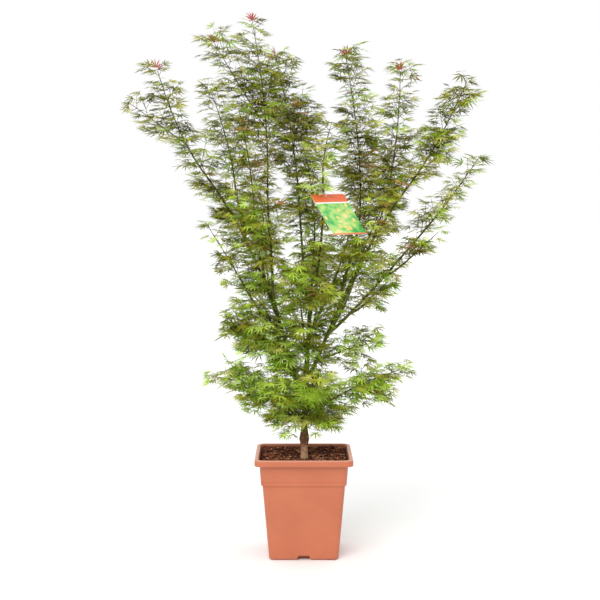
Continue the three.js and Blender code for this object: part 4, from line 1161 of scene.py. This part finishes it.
    def stem(self, stem, mass, rng):
        """A main stem of a mass. Its twigs are in opposite pairs, each pair at right angles to the last."""
        line = stem["line"]
        tip_share = max(SHORTEST_STEM_SHARE, 1 - TIP_ROOM * LEAF_LENGTH / line.length)
        count = max(FEWEST_STEM_RINGS, round(line.length / STEM_RING_SPACING))
        points = line.spaced(count, last=tip_share)
        self.twigs.add(*tube(points, np.linspace(stem["root"], STEM_TIP, count), STEM_SIDES))
        stem_twigs, _, twig_size = mass["growth"]
        nodes = max(2, round(stem_twigs * line.length * tip_share / NODE_SPACING))
        first_turn = rng.uniform(0, math.pi)
        for node in range(1, nodes + 1):
            share = (node - NODE_BACK) / nodes * tip_share
            point, ahead = line.at(share), line.along(share)
            across = np.cross(ahead, UP)
            across = unit(across) if np.linalg.norm(across) > STEEP else RIGHT
            turn = first_turn + node * math.pi / 2 + rng.uniform(-NODE_PLAY, NODE_PLAY)
            across = turned(across, ahead, turn)
            reach = mass["spread"] * MM * (REACH_AT_ROOT - REACH_FALL * share / tip_share)
            for hand in (1, -1):
                direction = unit(across * hand + ahead * rng.uniform(*SHOOT_LEAN))
                length = twig_size * (reach - LEAF_LENGTH) * rng.uniform(*TWIG_LENGTHS)
                if length > SHORTEST_TWIG:
                    self.twig(point, direction, length, mass, rng)
                else:
                    self.leaf(point, direction, LEAF_LENGTH, mass, pick_tint(point[2], rng), rng)
        self.tip(points[-1], line.along(1), mass, rng)

    def tip(self, point, ahead, mass, rng):
        """The end of a stem: a pair of leaves and, high in the crown, small red ones still unfolding."""
        young = point[2] > YOUNG_FROM - LEAF_LENGTH
        tint = pick_tint(point[2], rng)
        size = LEAF_LENGTH * TIP_LEAF_SHARE
        sideways = unit(np.cross(ahead, TIP_ASIDE))
        for hand in (1, -1):
            self.leaf(point, unit(sideways * hand + ahead * TIP_LEAN), size, mass, tint, rng)
        for _ in range(2):
            direction = unit(ahead + np.array([rng.gauss(0, TIP_SPREAD) for _ in range(3)]))
            self.leaf(point, direction, size, mass, "young_red" if young else tint, rng, young)

    def limb_shoots(self, limb, mass, rng):
        """Short leafy shoots along the upper part of a limb."""
        line = limb["line"]
        _, limb_twigs, twig_size = mass["growth"]
        stretch = 1 - LIMB_SHOOTS_FROM
        count = max(1, round(limb_twigs * (line.length * stretch) / LIMB_SHOOT_SPACING))
        for i in range(count):
            share = LIMB_SHOOTS_FROM + stretch * (i + rng.uniform(*LIMB_SHOOT_PLACES)) / count
            point, ahead = line.at(share), line.along(share)
            direction = unit(aside(ahead, rng.uniform(0, math.tau)) + ahead * rng.uniform(*SHOOT_LEAN))
            length = twig_size * LIMB_SHOOT_LENGTH * rng.uniform(*LIMB_SHOOT_LENGTHS)
            self.twig(point, direction, length, mass, rng)

    def trunk_shoots(self, trunk, mass, rng):
        """Short leafy shoots from the trunk, round the place where a mass leaves it."""
        for _ in range(TRUNK_SHOOTS):
            share = mass["at"] + rng.uniform(-TRUNK_SHOOT_SPREAD, TRUNK_SHOOT_SPREAD)
            across = turned(RIGHT, UP, rng.uniform(0, math.tau))
            direction = unit(across + UP * rng.uniform(0.0, TRUNK_SHOOT_RISE))
            length = LIMB_SHOOT_LENGTH * rng.uniform(*TRUNK_SHOOT_LENGTHS)
            self.twig(trunk["line"].at(share), direction, length, mass, rng)


def grow_masses(limbs):
    """Each mass of foliage with its stems, and the straight stretches that its reach is measured from."""
    rows = [dict(row, on_trunk=True, carrier="trunk", node=f"foliage_{row['name']}") for row in TRUNK_MASSES]
    for limb in LIMBS:
        plain = limb["name"].removesuffix("_leader").removesuffix("_limb")
        rows.append(dict(limb, on_trunk=False, carrier=limb["name"], node=f"foliage_{plain}"))
    for mass in rows:
        carrier = limbs[mass["carrier"]]
        mass["stems"] = mass_stems(mass, carrier)
        lines = [stem["line"].spaced(STEM_REACH_POINTS) for stem in mass["stems"]]
        if not mass["on_trunk"]:
            lines.append(carrier["line"].spaced(LIMB_REACH_POINTS, first=LIMB_SHOOTS_FROM))
        mass["starts"] = np.concatenate([line[:-1] for line in lines])
        mass["spans"] = np.concatenate([np.diff(line, axis=0) for line in lines])
    return rows


def make_foliage(limbs, card):
    masses = grow_masses(limbs)
    crown = Crown(card)
    for i, mass in enumerate(masses):
        rng = random.Random(MASS_SEED_STEP * (i + 1))
        for stem in mass["stems"]:
            crown.stem(stem, mass, rng)
        grow_shoots = crown.trunk_shoots if mass["on_trunk"] else crown.limb_shoots
        grow_shoots(limbs[mass["carrier"]], mass, rng)
    nodes = [mass["node"] for mass in masses]
    twig = Finish("twig_bark", [(70, 56, 30), (88, 92, 34)], pattern=40, rough=(0.55, 0.7), bump=0.2,
                  bump_scale=500, specular=0.15)
    add_piece(mesh_of("twigs", crown.twigs.shape()), twig, nodes)
    reddish = Finish("leaf_stalk", [(134, 96, 58)], rough=(0.45, 0.6))
    add_piece(mesh_of("leaf_stalks", crown.stalks.shape()), reddish, nodes)
    for tint, (colour, low, high) in LEAF_TINTS.items():
        leaf = Finish(f"leaf_{tint}", [colour], pattern=90, rough=(0.6, 0.8), bump=0.25, bump_scale=350,
                      specular=0.08)
        add_piece(mesh_of(f"leaves_{tint}", crown.leaves[tint].shape()), leaf, nodes)


# Hanging card

def card_frame():
    """Where the card hangs: the middle of its solid, and its own directions."""
    low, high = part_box("hanging_card")
    across = unit(np.array(CARD_ACROSS, float))
    normal = unit(np.cross(CARD_DOWN, across))
    centre = np.array((low + high) / 2)
    return dict(centre=centre, across=across, normal=normal, down=np.cross(across, normal))


def printed_card():
    """A plain generic design: an orange band and a white line above a green and cream field with round
    blossoms, and an orange foot."""
    finish = Finish("card_print", [(62, 158, 78), (104, 190, 92), (168, 206, 110), (228, 212, 142)],
                    pattern=34, rough=(0.22, 0.34), bump=0.04, bump_scale=300, detail=2, coat=0.3)
    chart = finish.node("ShaderNodeUVMap", {})
    chart.uv_map = "card"
    place = chart.outputs["UV"]
    height = finish.node("ShaderNodeSeparateXYZ", {"Vector": place}).outputs["Y"]
    spots = finish.node("ShaderNodeTexVoronoi", {"Vector": place, "Scale": BLOSSOM_SCALE}).outputs["Distance"]
    layers = [("LESS_THAN", spots, reach, colour) for reach, colour in BLOSSOMS]
    layers += [(operation, height, edge, colour) for operation, edge, colour in BANDS]
    field = finish.colour()
    for operation, value, edge, colour in layers:
        field = finish.mixed(field, linear(colour), finish.calculated(operation, value, edge))
    finish.paint(field)
    return finish


def mesh_from_curve(name, curve):
    holder = add_object(name, curve)
    mesh = evaluated_mesh(holder)
    bpy.data.objects.remove(holder)
    mesh.name = name
    return mesh


def closed_outline(curve, points):
    spline = curve.splines.new("POLY")
    spline.points.add(len(points) - 1)
    for target, (x, y) in zip(spline.points, points):
        target.co = (x, y, 0, 1)
    spline.use_cyclic_u = True


def card_mesh():
    """The card lying flat round the origin: a plate with round corners and a hole near its top."""
    width, height = CARD_SIZE
    hole = (HOLE_FROM_LEFT - width / 2, height / 2 - HOLE_FROM_TOP)
    curve = bpy.data.curves.new("card", "CURVE")
    curve.dimensions = "2D"
    curve.fill_mode = "BOTH"
    curve.extrude = CARD_THICKNESS / 2
    closed_outline(curve, rounded_rectangle(width, height, CARD_CORNER, CARD_CORNER_STEPS))
    closed_outline(curve, arc(hole, HOLE_RADIUS, full_turn(HOLE_SIDES)))
    return mesh_from_curve("plant_card", curve)


def make_card(card):
    width, height = CARD_SIZE
    mesh = card_mesh()
    chart = mesh.uv_layers.new(name="card")
    for loop in mesh.loops:
        x, y, _ = mesh.vertices[loop.vertex_index].co
        chart.data[loop.index].uv = (x / width + 0.5, y / height + 0.5)
    back = Finish("card_back", [(226, 224, 216), (238, 236, 230)], pattern=30, rough=(0.3, 0.4), bump=0.03)
    add_piece(mesh, printed_card(), ["hanging_card"])
    mesh.materials.append(back.material)
    for face in mesh.polygons:
        face.material_index = 0 if face.normal.z > 0.5 else 1
    place = Matrix((card["across"], -card["down"], card["normal"])).transposed().to_4x4()
    place.translation = Vector(card["centre"])
    mesh.transform(place)
    mesh.shade_flat()


def tie_points(card, limb):
    """A loop round the limb, through the card's hole and back over its top edge."""
    steps = max(FEWEST_LIMB_STEPS, round(limb["line"].length / CARD_LIMB_STEP))
    below, above = limb["line"].spaced(steps + 1)[-2:]
    knot = below + (above - below) * KNOT_SHARE
    down, normal = card["down"], card["normal"]
    side = unit(np.cross(above - below, normal))
    front = unit(np.cross(side, above - below))
    width, height = CARD_SIZE
    to_hole = card["across"] * (HOLE_FROM_LEFT - width / 2) + down * (HOLE_FROM_TOP - height / 2)
    hole = card["centre"] + to_hole
    reach = limb["radius_at"](1 - 1 / steps) + TIE_RADIUS + 2 * GAP
    seat = down * (HOLE_RADIUS - TIE_RADIUS - GAP)
    before = (front - UP) * (reach * TIE_SLOPE)
    off = normal * TIE_STAND_OFF
    return [
        knot - side * (reach + GAP) + before,
        *[knot - front * reach * math.cos(a) + side * reach * math.sin(a) for a in TIE_TURNS],
        knot + side * (reach + GAP) + before,
        hole - off - seat,
        hole - seat,
        hole + off - seat,
        hole + off - down * HOLE_FROM_TOP,
        hole - down * (HOLE_FROM_TOP + TIE_STAND_OFF),
    ]


def make_tie(card, limb):
    points = tie_points(card, limb)
    curve = bpy.data.curves.new("tie", "CURVE")
    curve.dimensions = "3D"
    curve.bevel_depth = TIE_RADIUS
    curve.bevel_resolution = 3
    curve.resolution_u = 6
    spline = curve.splines.new("BEZIER")
    spline.bezier_points.add(len(points) - 1)
    spline.use_cyclic_u = True
    for target, place in zip(spline.bezier_points, points):
        target.co = place
        target.handle_left_type = target.handle_right_type = "AUTO"
    plastic = Finish("tie_plastic", [(226, 224, 216), (240, 238, 232)], pattern=200, rough=(0.35, 0.5),
                     bump=0.05)
    add_piece(mesh_from_curve("card_loop", curve), plastic, ["card_tie"])


# Stage

def make_camera():
    data = bpy.data.cameras.new("camera")
    data.lens = CAMERA_LENS
    camera = add_object("camera", data)
    camera.location = CAMERA_PLACE
    camera.rotation_euler = (math.pi / 2 + CAMERA_PITCH, 0, 0)
    bpy.context.scene.camera = camera


def make_floor():
    corners = [(x * FLOOR_REACH, y * FLOOR_REACH, 0) for x, y in ((-1, -1), (1, -1), (1, 1), (-1, 1))]
    mesh = bpy.data.meshes.new("floor")
    mesh.from_pydata(corners, [], [(0, 1, 2, 3)])
    white = Finish("floor", [(248, 248, 248), (252, 252, 252)], pattern=0.5, rough=(0.7, 0.8), bump=0)
    mesh.materials.append(white.material)
    add_object("floor", mesh)


def make_lights():
    """One broad, distant lamp, and a white sky all round."""
    lamp = bpy.data.lights.new("key", "SUN")
    lamp.energy = KEY_STRENGTH
    lamp.angle = KEY_SOFTNESS
    add_object("key", lamp).rotation_euler = Vector(KEY_DIRECTION).to_track_quat("-Z", "Y").to_euler()
    world = bpy.data.worlds.new("studio")
    world.use_nodes = True
    sky = world.node_tree.nodes["Background"]
    sky.inputs["Color"].default_value = (1, 1, 1, 1)
    sky.inputs["Strength"].default_value = SKY_LIGHT
    bpy.context.scene.world = world
    bpy.context.scene.view_settings.view_transform = "Standard"


make_camera()
make_floor()
make_lights()
make_pot()
make_soil()
make_chips()
limbs = grow_limbs()
make_stems(limbs)
card_place = card_frame()
make_foliage(limbs, card_place)
make_card(card_place)
make_tie(card_place, limbs[CARD_LIMB])
